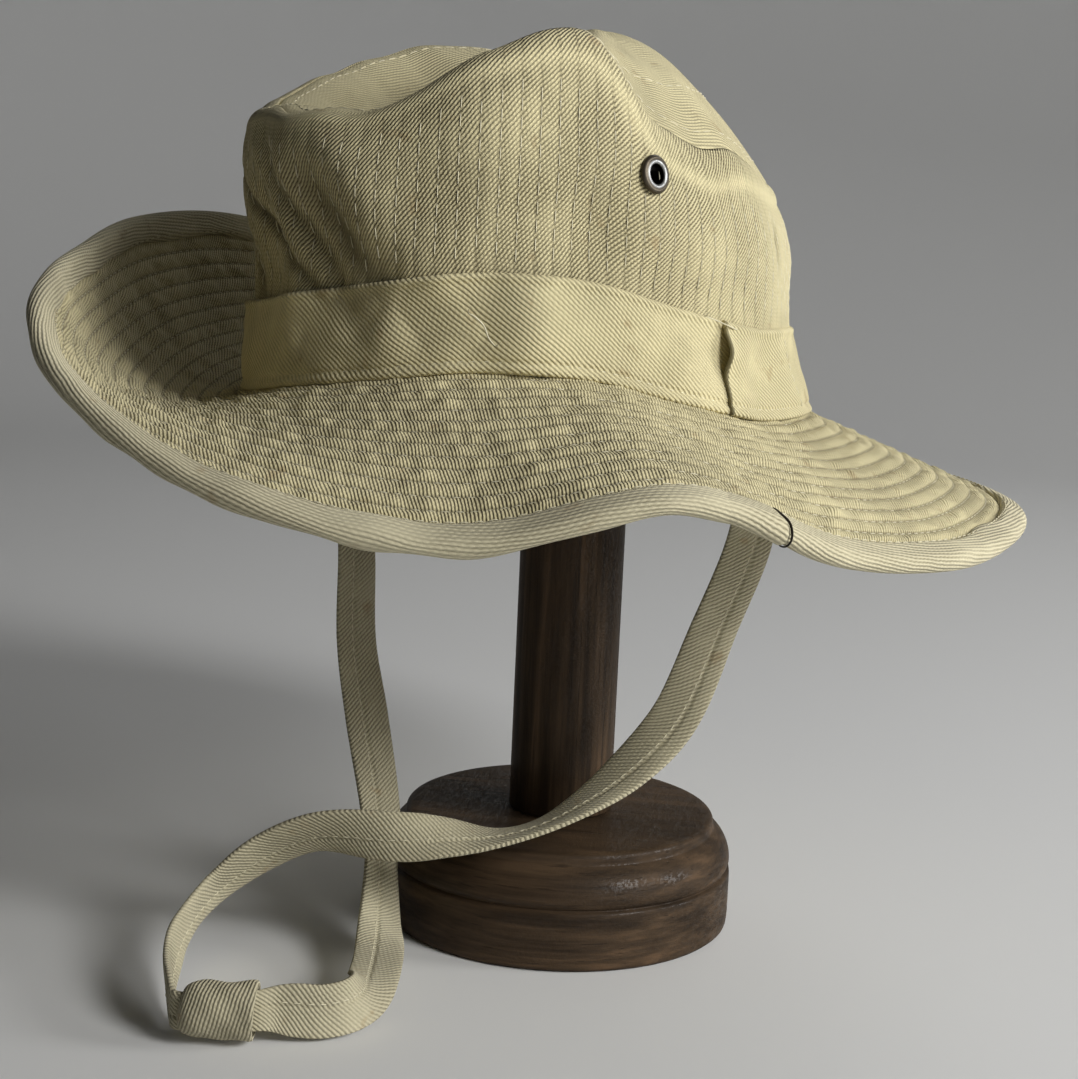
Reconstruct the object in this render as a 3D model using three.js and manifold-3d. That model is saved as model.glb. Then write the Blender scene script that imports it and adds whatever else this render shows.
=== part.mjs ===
import * as THREE from 'three';
import Module from 'manifold-3d';

// A cotton bush hat on a turned wooden stand, in millimetres, with +Z up.
// The front of the hat faces -Y, the wearer's left is +X and the stand is centred on the origin.

// Stand
const BASE_RADIUS = 57.5;
const BASE_WALL = 19;
const BASE_TOP = 36;
const BASE_DISC = 51;
const POST_RADIUS = 17;
const POST_TOP = 284.8;
const POST_HEAD = 18;
const TURNED_SIDES = 40;

// Profile of the base, from its foot over the groove and the moulding to the edge of its top
const BASE_PROFILE = [
  { radius: BASE_RADIUS - 0.8, height: 0 },
  { radius: BASE_RADIUS, height: 0.8 },
  { radius: BASE_RADIUS, height: BASE_WALL - 1 },
  { radius: BASE_RADIUS - 1.2, height: BASE_WALL },
  { radius: BASE_RADIUS - 0.6, height: BASE_WALL + 1.4 },
  { radius: BASE_RADIUS - 0.5, height: BASE_WALL + 4 },
  { radius: BASE_RADIUS - 1.6, height: BASE_WALL + 8 },
  { radius: BASE_RADIUS - 3.4, height: BASE_TOP - 5 },
  { radius: BASE_DISC + 0.6, height: BASE_TOP - 3.6 },
  { radius: BASE_DISC + 0.4, height: BASE_TOP - 1 },
  { radius: BASE_DISC - 0.8, height: BASE_TOP },
];

// Turns of the post's round head, in degrees off its axis
const HEAD_TURNS = [54, 38, 25, 12, 0];
const HEAD_FOOT_TURN = 70;

// Hat
const HAT_X = -6;
const HAT_Y = -19;
const HALF_WIDTH = 80;
const HALF_LENGTH = 96;
const CROWN_WALL = 2;
const TIP_WALL = 2;
const TIP_PEAK = 287.6;
const TIP_ROUND = 0.2;
const BAND_HEIGHT = 27;
const BAND_WALL = 1.6;
const BRIM_WIDTH = 79;
const BRIM_WALL = 2;
const BINDING_WIDTH = 9.5;
const BINDING_WALL = 1;
const BINDING_GAP = 0.5;
const GAP = 0.3;
const SIDES = 72;
const WAIST = 2.5;
const WAIST_REACH = 1.25;
const SAG_SHIFT = 1.1;

// One row for each 20 degrees round the hat, from the wearer's left over the back.
// seat is the height of the crown's foot and rim that of its top seam, lean moves the rim out,
// root and edge are the brim's slopes in degrees, and sag is how far the tip falls in.
const RING = [
  { at: 0, seat: 174, rim: 248, lean: -6, root: -20, edge: -28, sag: 0 },
  { at: 20, seat: 173, rim: 241, lean: -8, root: -20, edge: -24, sag: 0 },
  { at: 40, seat: 172, rim: 239, lean: -9, root: -22, edge: -21, sag: 0 },
  { at: 60, seat: 172, rim: 243, lean: -8, root: -20, edge: -24, sag: 0 },
  { at: 80, seat: 172, rim: 248, lean: -7, root: -18, edge: -26, sag: 0 },
  { at: 100, seat: 172, rim: 257, lean: -6, root: -16, edge: -24, sag: 0 },
  { at: 120, seat: 172, rim: 270, lean: -4, root: -10, edge: -8, sag: 2 },
  { at: 140, seat: 172, rim: 281, lean: -2, root: 0, edge: 28, sag: 8 },
  { at: 160, seat: 173, rim: 281.5, lean: 0, root: 10, edge: 60, sag: 14 },
  { at: 180, seat: 173, rim: 273, lean: 1, root: 16, edge: 72, sag: 18 },
  { at: 200, seat: 173, rim: 265, lean: 2, root: 5, edge: 84, sag: 20 },
  { at: 220, seat: 174, rim: 257, lean: 4, root: -20, edge: 98, sag: 20 },
  { at: 240, seat: 176, rim: 254, lean: 4, root: -27, edge: 82, sag: 20 },
  { at: 260, seat: 180, rim: 253, lean: 2, root: -23, edge: 32, sag: 20 },
  { at: 280, seat: 184, rim: 255, lean: 0, root: -20, edge: -14, sag: 18 },
  { at: 300, seat: 188, rim: 268, lean: -2, root: -22, edge: -34, sag: 12 },
  { at: 320, seat: 187, rim: 274, lean: -4, root: -15, edge: -19, sag: 3 },
  { at: 340, seat: 180, rim: 253, lean: -5, root: -18, edge: -32, sag: 0 },
];
const ROW_STEP = 360 / RING.length;

// Soft folds of the crown wall, each at a direction and a share of its height, with its reach both
// ways and how far it stands out
const FOLDS = [
  { at: 256, share: 0.8, wide: 6, tall: 0.35, out: 3 },
  { at: 246, share: 0.55, wide: 6, tall: 0.3, out: -2.5 },
  { at: 268, share: 0.6, wide: 6, tall: 0.3, out: -2 },
  { at: 283, share: 0.45, wide: 7, tall: 0.16, out: -2 },
  { at: 302, share: 0.75, wide: 12, tall: 0.3, out: 1.5 },
  { at: 8, share: 0.6, wide: 9, tall: 0.25, out: 2 },
  { at: 200, share: 0.55, wide: 10, tall: 0.3, out: -2.5 },
  { at: 120, share: 0.6, wide: 12, tall: 0.3, out: 2 },
];

// Eyelet
const EYELET_AT = 333.4;
const EYELET_HEIGHT = 243;
const EYELET_RADIUS = 5.4;
const EYELET_HOLE = 2.5;
const EYELET_BARREL = 3.2;
const EYELET_LIP = 4.1;
const EYELET_SIDES = 24;
const HOLE_DEPTH = 12;

// Profile of the eyelet, from the lip rolled over inside the wall to the flange outside it
const EYELET_PROFILE = [
  { radius: EYELET_HOLE, height: -3.4 },
  { radius: EYELET_LIP, height: -3.4 },
  { radius: EYELET_LIP, height: -2.8 },
  { radius: EYELET_BARREL, height: -2.8 },
  { radius: EYELET_BARREL, height: 0.7 },
  { radius: EYELET_RADIUS, height: 0.7 },
  { radius: EYELET_RADIUS, height: 1.1 },
  { radius: EYELET_RADIUS - 1, height: 1.7 },
  { radius: EYELET_HOLE + 0.6, height: 1.7 },
  { radius: EYELET_HOLE, height: 1.1 },
  { radius: EYELET_HOLE, height: -3.4 },
];

// Chin strap, whose rows give the middle of the tape and the direction of its width
const STRAP_WIDTH = 15;
const STRAP_THICK = 2;
const STRAP_BEVEL = 1;
const STRAP_EDGE = 0.8;
const STRAP_LEFT = [
  { x: 68.4, y: -6, z: 184, azimuth: 97, tilt: 0 },
  { x: 67.2, y: -5, z: 169, azimuth: 94, tilt: 0 },
  { x: 67, y: -1.5, z: 152, azimuth: 78, tilt: 2 },
  { x: 65.5, y: 0.5, z: 135.5, azimuth: 33, tilt: -10 },
  { x: 57.5, y: -4.5, z: 106.5, azimuth: 23, tilt: -18 },
  { x: 50.5, y: -14.5, z: 77.5, azimuth: -2, tilt: -20 },
  { x: 41, y: -28, z: 60.5, azimuth: -19, tilt: -17 },
  { x: 33.5, y: -40.5, z: 51.5, azimuth: -29, tilt: -10 },
  { x: 26.5, y: -50, z: 46, azimuth: -38, tilt: -5 },
  { x: 18, y: -59, z: 43, azimuth: -43, tilt: -19 },
  { x: 5.5, y: -70.5, z: 43, azimuth: -51, tilt: -44 },
  { x: -6.5, y: -79, z: 42.5, azimuth: -54, tilt: -72 },
  { x: -28.5, y: -89.5, z: 41.5, azimuth: 92, tilt: -61 },
  { x: -42.5, y: -97, z: 34, azimuth: 87, tilt: -48 },
  { x: -51, y: -107.5, z: 24.5, azimuth: 112, tilt: -50 },
  { x: -51, y: -116, z: 20.5, azimuth: 129, tilt: -62 },
  { x: -48.5, y: -125, z: 16.5, azimuth: 124, tilt: -70 },
  { x: -43.5, y: -134, z: 13.5, azimuth: 92, tilt: -74 },
  { x: -36.5, y: -143, z: 11, azimuth: 70, tilt: -80 },
  { x: -29.5, y: -150, z: 9.5, azimuth: 45, tilt: -84 },
  { x: -23.5, y: -155, z: 9, azimuth: 35, tilt: -86 },
  { x: -18.6, y: -158.4, z: 8.8, azimuth: 30, tilt: -88 },
];
const STRAP_RIGHT = [
  { x: -81.6, y: -19, z: 183, azimuth: 90, tilt: 0 },
  { x: -80.5, y: -20, z: 166, azimuth: 90, tilt: 0 },
  { x: -76, y: -22, z: 140, azimuth: 86, tilt: 0 },
  { x: -69, y: -27, z: 116, azimuth: 78, tilt: -9 },
  { x: -62, y: -34, z: 87.5, azimuth: 73, tilt: -8 },
  { x: -52, y: -39.5, z: 64.5, azimuth: 64, tilt: -2 },
  { x: -37.5, y: -48.5, z: 37, azimuth: 70, tilt: -15 },
  { x: -29, y: -57.5, z: 25, azimuth: 76, tilt: -35 },
  { x: -18, y: -70.5, z: 13.5, azimuth: 55, tilt: -33 },
  { x: -4.5, y: -87, z: 9, azimuth: 39, tilt: -10 },
  { x: 6.5, y: -103, z: 8, azimuth: 32, tilt: -16 },
  { x: 13.5, y: -115.5, z: 8, azimuth: 16, tilt: -62 },
  { x: 15, y: -125.5, z: 8.5, azimuth: -13, tilt: -77 },
  { x: 12, y: -132, z: 8.5, azimuth: -58, tilt: -80 },
  { x: 7.5, y: -136.5, z: 9, azimuth: -82, tilt: -79 },
  { x: 3, y: -140.5, z: 9.4, azimuth: -53, tilt: -77 },
  { x: 0.5, y: -144.8, z: 9.6, azimuth: -26, tilt: -70 },
];
const KNOT = { x: -8.8, y: -151.8, z: 8.6, long: 10.5, deep: 7, tall: 8.2, turn: 35 };
const KNOT_SIDES = 20;
const KNOT_LEVELS = 12;
const KNOT_RIDGE = 0.05;
const KNOT_RIDGES = 5;

// Colours
const KHAKI = 0xb9ab80;
const PALE_KHAKI = 0xc4b78e;
const WALNUT = 0x3a2a20;
const BRONZE = 0x6e6252;

const radians = THREE.MathUtils.degToRad;

// A column of the ring table at any direction, smooth through its rows
function ringValue(column, degrees) {
  const place = THREE.MathUtils.euclideanModulo(degrees, 360) / ROW_STEP;
  const row = Math.floor(place);
  const part = place - row;
  const value = (step) => RING[THREE.MathUtils.euclideanModulo(row + step, RING.length)][column];
  const [a, b, c, d] = [value(-1), value(0), value(1), value(2)];
  const bend = part * (2 * a - 5 * b + 4 * c - d + part * (3 * (b - c) + d - a));
  return b + 0.5 * part * (c - a + bend);
}

// A point of the hat's oval, moved out by some millimetres, with its outward direction
function ovalPoint(degrees, out) {
  const angle = radians(degrees);
  const normal = new THREE.Vector2(Math.cos(angle) / HALF_WIDTH, Math.sin(angle) / HALF_LENGTH).normalize();
  const x = HAT_X + HALF_WIDTH * Math.cos(angle) + normal.x * out;
  const y = HAT_Y + HALF_LENGTH * Math.sin(angle) + normal.y * out;
  return { x, y, normal };
}

// How far the crown wall stands out at a share of its height
function crownOut(degrees, share) {
  const waist = -WAIST * Math.sin(Math.PI * Math.min(1, share * WAIST_REACH)) ** 2;
  const folds = FOLDS.reduce((sum, fold) => {
    const turn = (THREE.MathUtils.euclideanModulo(degrees - fold.at + 180, 360) - 180) / fold.wide;
    const rise = (share - fold.share) / fold.tall;
    return sum + fold.out * Math.exp(-turn * turn - rise * rise);
  }, 0);
  return ringValue('lean', degrees) * share ** 2 + waist + folds;
}

function crownHeight(degrees, share) {
  const seat = ringValue('seat', degrees);
  return seat + share * (ringValue('rim', degrees) - seat);
}

function sectionPoint(degrees, out, height) {
  const foot = ovalPoint(degrees, out);
  return new THREE.Vector3(foot.x, foot.y, height);
}

// The brim's section: distance out and height at a distance along it, with its slope
function brimPath(degrees, along) {
  const root = radians(ringValue('root', degrees));
  const edge = radians(ringValue('edge', degrees));
  const turn = (edge - root) / BRIM_WIDTH;
  const slope = root + turn * along;
  const middle = root + turn * along * 0.5;
  const bend = turn * along * 0.5;
  const chord = Math.abs(bend) < 1e-6 ? along : along * Math.sin(bend) / bend;
  const height = ringValue('seat', degrees) + chord * Math.sin(middle);
  return { out: chord * Math.cos(middle), height, slope };
}

function brimPoint(degrees, along, lift) {
  const place = brimPath(degrees, along);
  const out = place.out - lift * Math.sin(place.slope);
  return sectionPoint(degrees, out, place.height + lift * Math.cos(place.slope));
}

// A closed body from rows of points, each row a closed section carried round or along a path
function sectionBody(sections, closed) {
  const count = sections[0].length;
  const positions = sections.flat().flatMap((point) => [point.x, point.y, point.z]);
  const index = [];
  const spans = closed ? sections.length : sections.length - 1;
  for (let row = 0; row < spans; row += 1) {
    const here = row * count;
    const there = ((row + 1) % sections.length) * count;
    for (let step = 0; step < count; step += 1) {
      const next = (step + 1) % count;
      index.push(here + step, there + step, there + next, here + step, there + next, here + next);
    }
  }
  if (!closed) {
    const last = (sections.length - 1) * count;
    for (let step = 1; step < count - 1; step += 1) {
      index.push(0, step, step + 1);
      index.push(last, last + step + 1, last + step);
    }
  }
  const geometry = new THREE.BufferGeometry();
  geometry.setAttribute('position', new THREE.Float32BufferAttribute(positions, 3));
  geometry.setIndex(index);
  return geometry;
}

// The section goes out, up, in and down, so that each turn of the loop faces out
function ringBody(section) {
  const rows = [];
  for (let side = 0; side < SIDES; side += 1) {
    rows.push(section((360 * side) / SIDES));
  }
  return sectionBody(rows, true);
}

// Crown wall, from the brim to the tip's seam, with breaks where the band has its own
const CROWN_FOOT = 0.7;
const TIP_CHAMFER = 3.4;
const BAND_LIFT = 1.4;
const BAND_LEVELS = [0, 0.5, 1];
const UPPER_LEVELS = [1 / 3, 2 / 3, 1];
function bandShare(degrees, level) {
  const tall = ringValue('rim', degrees) - ringValue('seat', degrees);
  return (BAND_LIFT + BAND_HEIGHT * level) / tall;
}

function crownSection(degrees) {
  const top = bandShare(degrees, 1);
  const shares = [0, bandShare(degrees, 0.5), top, ...UPPER_LEVELS.map((level) => top + (1 - top) * level)];
  const tread = brimPath(degrees, -CROWN_WALL).height - ringValue('seat', degrees);
  const outer = [];
  const inner = [];
  for (const share of shares) {
    const out = crownOut(degrees, share);
    const height = crownHeight(degrees, share) + CROWN_FOOT * (1 - share);
    const drop = tread * (1 - share) - TIP_CHAMFER * share;
    outer.push(sectionPoint(degrees, out, height));
    inner.unshift(sectionPoint(degrees, out - CROWN_WALL, height + drop));
  }
  return [...outer, ...inner];
}

// Band round the crown's foot
const BAND_GAP = 0.6;
function bandSection(degrees) {
  const outer = [];
  const inner = [];
  for (const level of BAND_LEVELS) {
    const share = bandShare(degrees, level);
    const out = crownOut(degrees, share) + BAND_GAP;
    outer.push(sectionPoint(degrees, out + BAND_WALL, crownHeight(degrees, share)));
    inner.unshift(sectionPoint(degrees, out, crownHeight(degrees, share)));
  }
  return [...outer, ...inner];
}

// Brim, under the crown's foot and out to just inside its binding
const BINDING_START = BRIM_WIDTH - BINDING_WIDTH;
const BINDING_FOLD = BRIM_WIDTH - BINDING_WALL;
const BINDING_MIDDLE = (BINDING_START + BINDING_FOLD) / 2;
const BRIM_STATIONS = [-CROWN_WALL, 17, 35, 53, BINDING_START, BINDING_MIDDLE, BINDING_FOLD - GAP];
function brimSection(degrees) {
  const under = BRIM_STATIONS.map((along) => brimPoint(degrees, along, -BRIM_WALL));
  const upper = BRIM_STATIONS.map((along) => brimPoint(degrees, along, 0));
  return [...under, ...upper.reverse()];
}

// Binding folded over the brim's edge
function bindingSection(degrees) {
  const top = BINDING_GAP + BINDING_WALL;
  const under = -BRIM_WALL - BINDING_GAP;
  const foot = under - BINDING_WALL;
  const trace = [
    [BINDING_START, foot], [BINDING_MIDDLE, foot], [BINDING_FOLD, foot], [BRIM_WIDTH, under],
    [BRIM_WIDTH, BINDING_GAP], [BINDING_FOLD, top], [BINDING_MIDDLE, top], [BINDING_START, top],
    [BINDING_START, BINDING_GAP], [BINDING_MIDDLE, BINDING_GAP], [BINDING_FOLD, BINDING_GAP],
    [BINDING_FOLD, under], [BINDING_MIDDLE, under], [BINDING_START, under],
  ];
  return trace.map(([along, lift]) => brimPoint(degrees, along, lift));
}

// Height of the tip between its peak over the post and the crown's seam
const TIP_SHARES = [0.06, 0.18, 0.36, 0.56, 0.78, 1];
const TIP_STEPS = TIP_SHARES.length;
function tipPoint(degrees, share, lift) {
  const rim = ringValue('rim', degrees);
  const foot = ovalPoint(degrees, crownOut(degrees, 1));
  const far = Math.hypot(1, TIP_ROUND);
  const fall = (Math.hypot(share, TIP_ROUND) - TIP_ROUND) / (far - TIP_ROUND);
  const dip = ringValue('sag', degrees) * Math.sin(Math.PI * share ** SAG_SHIFT) ** 2;
  const height = TIP_PEAK + (rim + GAP + TIP_WALL - TIP_PEAK) * fall - dip;
  return new THREE.Vector3(foot.x * share, foot.y * share, height + lift);
}

function tipBody() {
  const positions = [0, 0, TIP_PEAK, 0, 0, TIP_PEAK - TIP_WALL];
  const index = [];
  const place = (layer, step, side) => 2 + (layer * TIP_STEPS + step - 1) * SIDES + (side % SIDES);
  for (const lift of [0, -TIP_WALL]) {
    for (let step = 1; step <= TIP_STEPS; step += 1) {
      for (let side = 0; side < SIDES; side += 1) {
        positions.push(...tipPoint((360 * side) / SIDES, TIP_SHARES[step - 1], lift).toArray());
      }
    }
  }
  for (let side = 0; side < SIDES; side += 1) {
    const next = side + 1;
    index.push(0, place(0, 1, side), place(0, 1, next));
    index.push(1, place(1, 1, next), place(1, 1, side));
    for (let step = 1; step < TIP_STEPS; step += 1) {
      const [a, b] = [place(0, step, side), place(0, step, next)];
      const [c, d] = [place(0, step + 1, side), place(0, step + 1, next)];
      index.push(a, c, d, a, d, b);
      const [e, f] = [place(1, step, side), place(1, step, next)];
      const [g, h] = [place(1, step + 1, side), place(1, step + 1, next)];
      index.push(e, h, g, e, f, h);
    }
    const [top, topNext] = [place(0, TIP_STEPS, side), place(0, TIP_STEPS, next)];
    const [low, lowNext] = [place(1, TIP_STEPS, side), place(1, TIP_STEPS, next)];
    index.push(top, low, lowNext, top, lowNext, topNext);
  }
  const geometry = new THREE.BufferGeometry();
  geometry.setAttribute('position', new THREE.Float32BufferAttribute(positions, 3));
  geometry.setIndex(index);
  return geometry;
}

// The direction of the tape's width, from its azimuth and its tilt off the level
function widthDirection(row) {
  const level = Math.cos(radians(row.tilt));
  const azimuth = radians(row.azimuth);
  return new THREE.Vector3(level * Math.cos(azimuth), level * Math.sin(azimuth), Math.sin(radians(row.tilt)));
}

// Flat tape carried along its route, with rounded edges
const TAPE_STEPS = 34;
function tapeBody(route) {
  const curve = new THREE.CatmullRomCurve3(route.map((row) => new THREE.Vector3(row.x, row.y, row.z)));
  const widths = new THREE.CatmullRomCurve3(route.map(widthDirection));
  const half = STRAP_WIDTH / 2;
  const flat = half - STRAP_BEVEL;
  const thin = STRAP_THICK / 2;
  const edge = STRAP_EDGE / 2;
  const outline = [
    [-half, -edge], [-flat, -thin], [flat, -thin], [half, -edge],
    [half, edge], [flat, thin], [-flat, thin], [-half, edge],
  ];
  const rows = [];
  for (let step = 0; step <= TAPE_STEPS; step += 1) {
    const share = step / TAPE_STEPS;
    const middle = curve.getPoint(share);
    const ahead = curve.getTangent(share);
    const across = widths.getPoint(share);
    across.addScaledVector(ahead, -across.dot(ahead)).normalize();
    const face = new THREE.Vector3().crossVectors(across, ahead);
    rows.push(outline.map(([wide, thick]) => middle.clone()
      .addScaledVector(across, wide).addScaledVector(face, thick)));
  }
  return sectionBody(rows, false);
}

// Knot: a rounded lump with the tape's turns standing out as ridges
function knotBody() {
  const geometry = new THREE.SphereGeometry(1, KNOT_SIDES, KNOT_LEVELS);
  const place = geometry.getAttribute('position');
  for (let spot = 0; spot < place.count; spot += 1) {
    const point = new THREE.Vector3().fromBufferAttribute(place, spot);
    const ridge = 1 + KNOT_RIDGE * Math.cos(point.x * KNOT_RIDGES);
    point.set(point.x * KNOT.long, point.y * KNOT.deep * ridge, point.z * KNOT.tall * ridge);
    place.setXYZ(spot, point.x, point.y, point.z);
  }
  geometry.rotateZ(radians(KNOT.turn));
  geometry.translate(KNOT.x, KNOT.y, KNOT.z);
  return geometry;
}

// A profile turned about its axis
function turned(profile, sides) {
  const points = profile.map((row) => new THREE.Vector2(row.radius, row.height));
  const geometry = new THREE.LatheGeometry(points, sides);
  geometry.rotateX(Math.PI / 2);
  return geometry;
}

function baseBody() {
  const foot = { radius: 0, height: 0 };
  const top = { radius: 0, height: BASE_TOP };
  return turned([foot, ...BASE_PROFILE, top], TURNED_SIDES);
}

// Post, with a round head that fills the peak of the tip
function postBody() {
  const foot = BASE_TOP + GAP;
  const headHeight = (turn) => POST_TOP - POST_HEAD * (1 - Math.cos(radians(turn)));
  const head = HEAD_TURNS.map((turn) => ({
    radius: POST_HEAD * Math.sin(radians(turn)),
    height: headHeight(turn),
  }));
  return turned([
    { radius: 0, height: foot },
    { radius: POST_RADIUS, height: foot },
    { radius: POST_RADIUS, height: headHeight(HEAD_FOOT_TURN) },
    ...head,
  ], TURNED_SIDES);
}

// Where the eyelet sits in the wall, with its axis square to the cloth
function eyeletPlace() {
  const seat = ringValue('seat', EYELET_AT);
  const tall = ringValue('rim', EYELET_AT) - seat;
  const share = (EYELET_HEIGHT - seat) / tall;
  const reach = EYELET_RADIUS / tall;
  const below = crownOut(EYELET_AT, share - reach);
  const above = crownOut(EYELET_AT, share + reach);
  const at = ovalPoint(EYELET_AT, (below + above) / 2);
  const slant = (above - below) / (2 * EYELET_RADIUS);
  const normal = new THREE.Vector3(at.normal.x, at.normal.y, -slant).normalize();
  const turn = new THREE.Quaternion().setFromUnitVectors(new THREE.Vector3(0, 0, 1), normal);
  return new THREE.Matrix4().compose(
    new THREE.Vector3(at.x, at.y, EYELET_HEIGHT), turn, new THREE.Vector3(1, 1, 1));
}

const { Manifold, Mesh } = await Module().then((wasm) => { wasm.setup(); return wasm; });

// Hole for the eyelet's barrel, cut through the crown wall
function cutHole(wall, tool) {
  const solid = (geometry) => {
    const mesh = new Mesh({
      numProp: 3,
      vertProperties: new Float32Array(geometry.getAttribute('position').array),
      triVerts: new Uint32Array(geometry.getIndex().array),
    });
    mesh.merge();
    return new Manifold(mesh);
  };
  const cut = solid(wall).subtract(solid(tool)).getMesh();
  const geometry = new THREE.BufferGeometry();
  geometry.setAttribute('position', new THREE.Float32BufferAttribute(cut.vertProperties, 3));
  geometry.setIndex([...cut.triVerts]);
  return geometry;
}

const holeRadius = EYELET_BARREL + GAP;
const hole = new THREE.CylinderGeometry(holeRadius, holeRadius, HOLE_DEPTH, EYELET_SIDES);
hole.rotateX(Math.PI / 2);
hole.applyMatrix4(eyeletPlace());

const group = new THREE.Group();
group.name = 'bush_hat_on_stand';

function addPiece(name, geometry, color, roughness, metalness = 0) {
  geometry.computeVertexNormals();
  const material = new THREE.MeshStandardMaterial({ color, roughness, metalness });
  const mesh = new THREE.Mesh(geometry, material);
  mesh.name = name;
  group.add(mesh);
}

addPiece('stand_base', baseBody(), WALNUT, 0.4);
addPiece('stand_post', postBody(), WALNUT, 0.45);
addPiece('brim', ringBody(brimSection), KHAKI, 0.95);
addPiece('brim_binding', ringBody(bindingSection), PALE_KHAKI, 0.95);
addPiece('crown_side', cutHole(ringBody(crownSection), hole), KHAKI, 0.95);
addPiece('crown_tip', tipBody(), KHAKI, 0.95);
addPiece('hat_band', ringBody(bandSection), KHAKI, 0.95);
addPiece('eyelet', turned(EYELET_PROFILE, EYELET_SIDES).applyMatrix4(eyeletPlace()), BRONZE, 0.4, 0.9);
addPiece('strap_left', tapeBody(STRAP_LEFT), KHAKI, 0.95);
addPiece('strap_right', tapeBody(STRAP_RIGHT), KHAKI, 0.95);
addPiece('strap_knot', knotBody(), KHAKI, 0.95);

export default group;
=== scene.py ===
import math

import bpy
import numpy as np
from mathutils import Matrix


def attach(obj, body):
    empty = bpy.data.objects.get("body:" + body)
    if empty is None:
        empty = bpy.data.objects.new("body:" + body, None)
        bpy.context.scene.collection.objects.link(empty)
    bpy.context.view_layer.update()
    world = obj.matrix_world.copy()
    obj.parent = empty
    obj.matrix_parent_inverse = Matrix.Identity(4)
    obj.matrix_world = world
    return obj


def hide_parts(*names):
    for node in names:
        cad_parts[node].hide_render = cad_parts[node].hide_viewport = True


# A khaki cotton bush hat on a turned walnut stand, in metres, with +Z up.
# The front of the hat faces -Y, the wearer's left is +X and the stand is centred on the origin.
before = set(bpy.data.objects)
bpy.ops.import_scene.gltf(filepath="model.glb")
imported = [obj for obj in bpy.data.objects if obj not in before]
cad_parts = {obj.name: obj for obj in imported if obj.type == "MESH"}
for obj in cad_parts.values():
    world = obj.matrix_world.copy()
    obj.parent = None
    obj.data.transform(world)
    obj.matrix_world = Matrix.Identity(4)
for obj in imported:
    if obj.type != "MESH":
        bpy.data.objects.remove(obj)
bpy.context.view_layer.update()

# Camera
# It stands in front of the hat's left side, a little above the brim, looks slightly down and is
# tipped a few degrees, as the photograph is.
IMAGE_SIZE = (1078, 1079)
FOCAL_PIXELS = 2000
CAMERA_TURN = math.radians(35)
CAMERA_PITCH = math.radians(9.6)
CAMERA_ROLL = math.radians(2.6)
CAMERA_SIDE = -0.011
CAMERA_BACK = 0.644
CAMERA_HEIGHT = 0.2345

camera_data = bpy.data.cameras.new("camera")
camera_data.lens = camera_data.sensor_width * FOCAL_PIXELS / max(IMAGE_SIZE)
camera = bpy.data.objects.new("camera", camera_data)
camera.matrix_world = (
    Matrix.Rotation(CAMERA_TURN, 4, "Z")
    @ Matrix.Translation((CAMERA_SIDE, -CAMERA_BACK, CAMERA_HEIGHT))
    @ Matrix.Rotation(math.pi / 2 - CAMERA_PITCH, 4, "X")
    @ Matrix.Rotation(CAMERA_ROLL, 4, "Z")
)
bpy.context.scene.collection.objects.link(camera)
bpy.context.scene.camera = camera

# Chin strap
# Two flat tapes of khaki drill, each folded and sewn along its middle. They are sewn inside the
# crown at the wearer's left and right, hang past the brim, cross before the stand and meet in a knot.
STRAP_WIDTH = 0.015
STRAP_THICK = 0.0021
STRAP_STEPS = 260
STRAP_ACROSS = 33
STRAP_FURROW = 0.55
STRAP_FURROW_WIDE = 0.06
STRAP_EDGE_THIN = 0.45
STRAP_GATHER = 0.27
STRAP_GATHER_FROM = 0.017
STRAP_GATHER_LONG = 0.013
STRAP_SEWN_FROM = 0.004
STRAP_SEWN_SHORT = 0.012
STRAP_SEAM_BESIDE = 0.0009
STRAP_STITCH = 0.0026
STRAP_STITCH_PITCH = 0.0036
STRAP_RIB = 0.00112
STRAP_RIB_ANGLE = 48
STRAP_COLOUR = (0.50, 0.455, 0.31)
STRAP_GROOVE = (0.10, 0.085, 0.05)
STAIN_COLOUR = (0.30, 0.20, 0.09)
ROUTE_STEPS = 30
THREAD = 0.00036
THREAD_SINK = 0.0001
THREAD_COLOUR = (0.70, 0.65, 0.47)
THREAD_END_COLOUR = (0.12, 0.09, 0.045)
# Each station of a stitch is a share of its length, and its thickness and its height over the cloth as
# shares of the thread's thickness
STITCH_STATIONS = (
    (0.00, 0.55, -0.50),
    (0.18, 0.90, 0.12),
    (0.50, 1.00, 0.34),
    (0.82, 0.90, 0.12),
    (1.00, 0.55, -0.50),
)
# The weave: how far its threads wander, how long a float is in ribs and how far it steps at each rib
WEAVE_DRIFT = 0.0014
FLOAT_LONG = 1.5
FLOAT_STEP = 0.38
# Faded and dull cloth and the painted shade in creases and dents as shares of its colours, and how much of
# each shows where it is strongest
DRILL_PALE = 1.15
DRILL_DULL = 0.55
DRILL_CREASE_SHADE = 0.6
FADED_SHOWS = 0.3
RUBBED_SHOWS = 0.6
GRIME_SHOWS = 0.35
STAIN_SHOWS = 0.4
CREASE_SHADE_SHOWS = 0.75
# How much of the grooves is lost where the cloth is worn and of the painted shade along the stitched rows
# where it is plain, and how worn plain cloth counts as
GROOVE_LOSS = 0.45
ROW_LOSS = 0.2
PLAIN_WORN = 1.5

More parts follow.
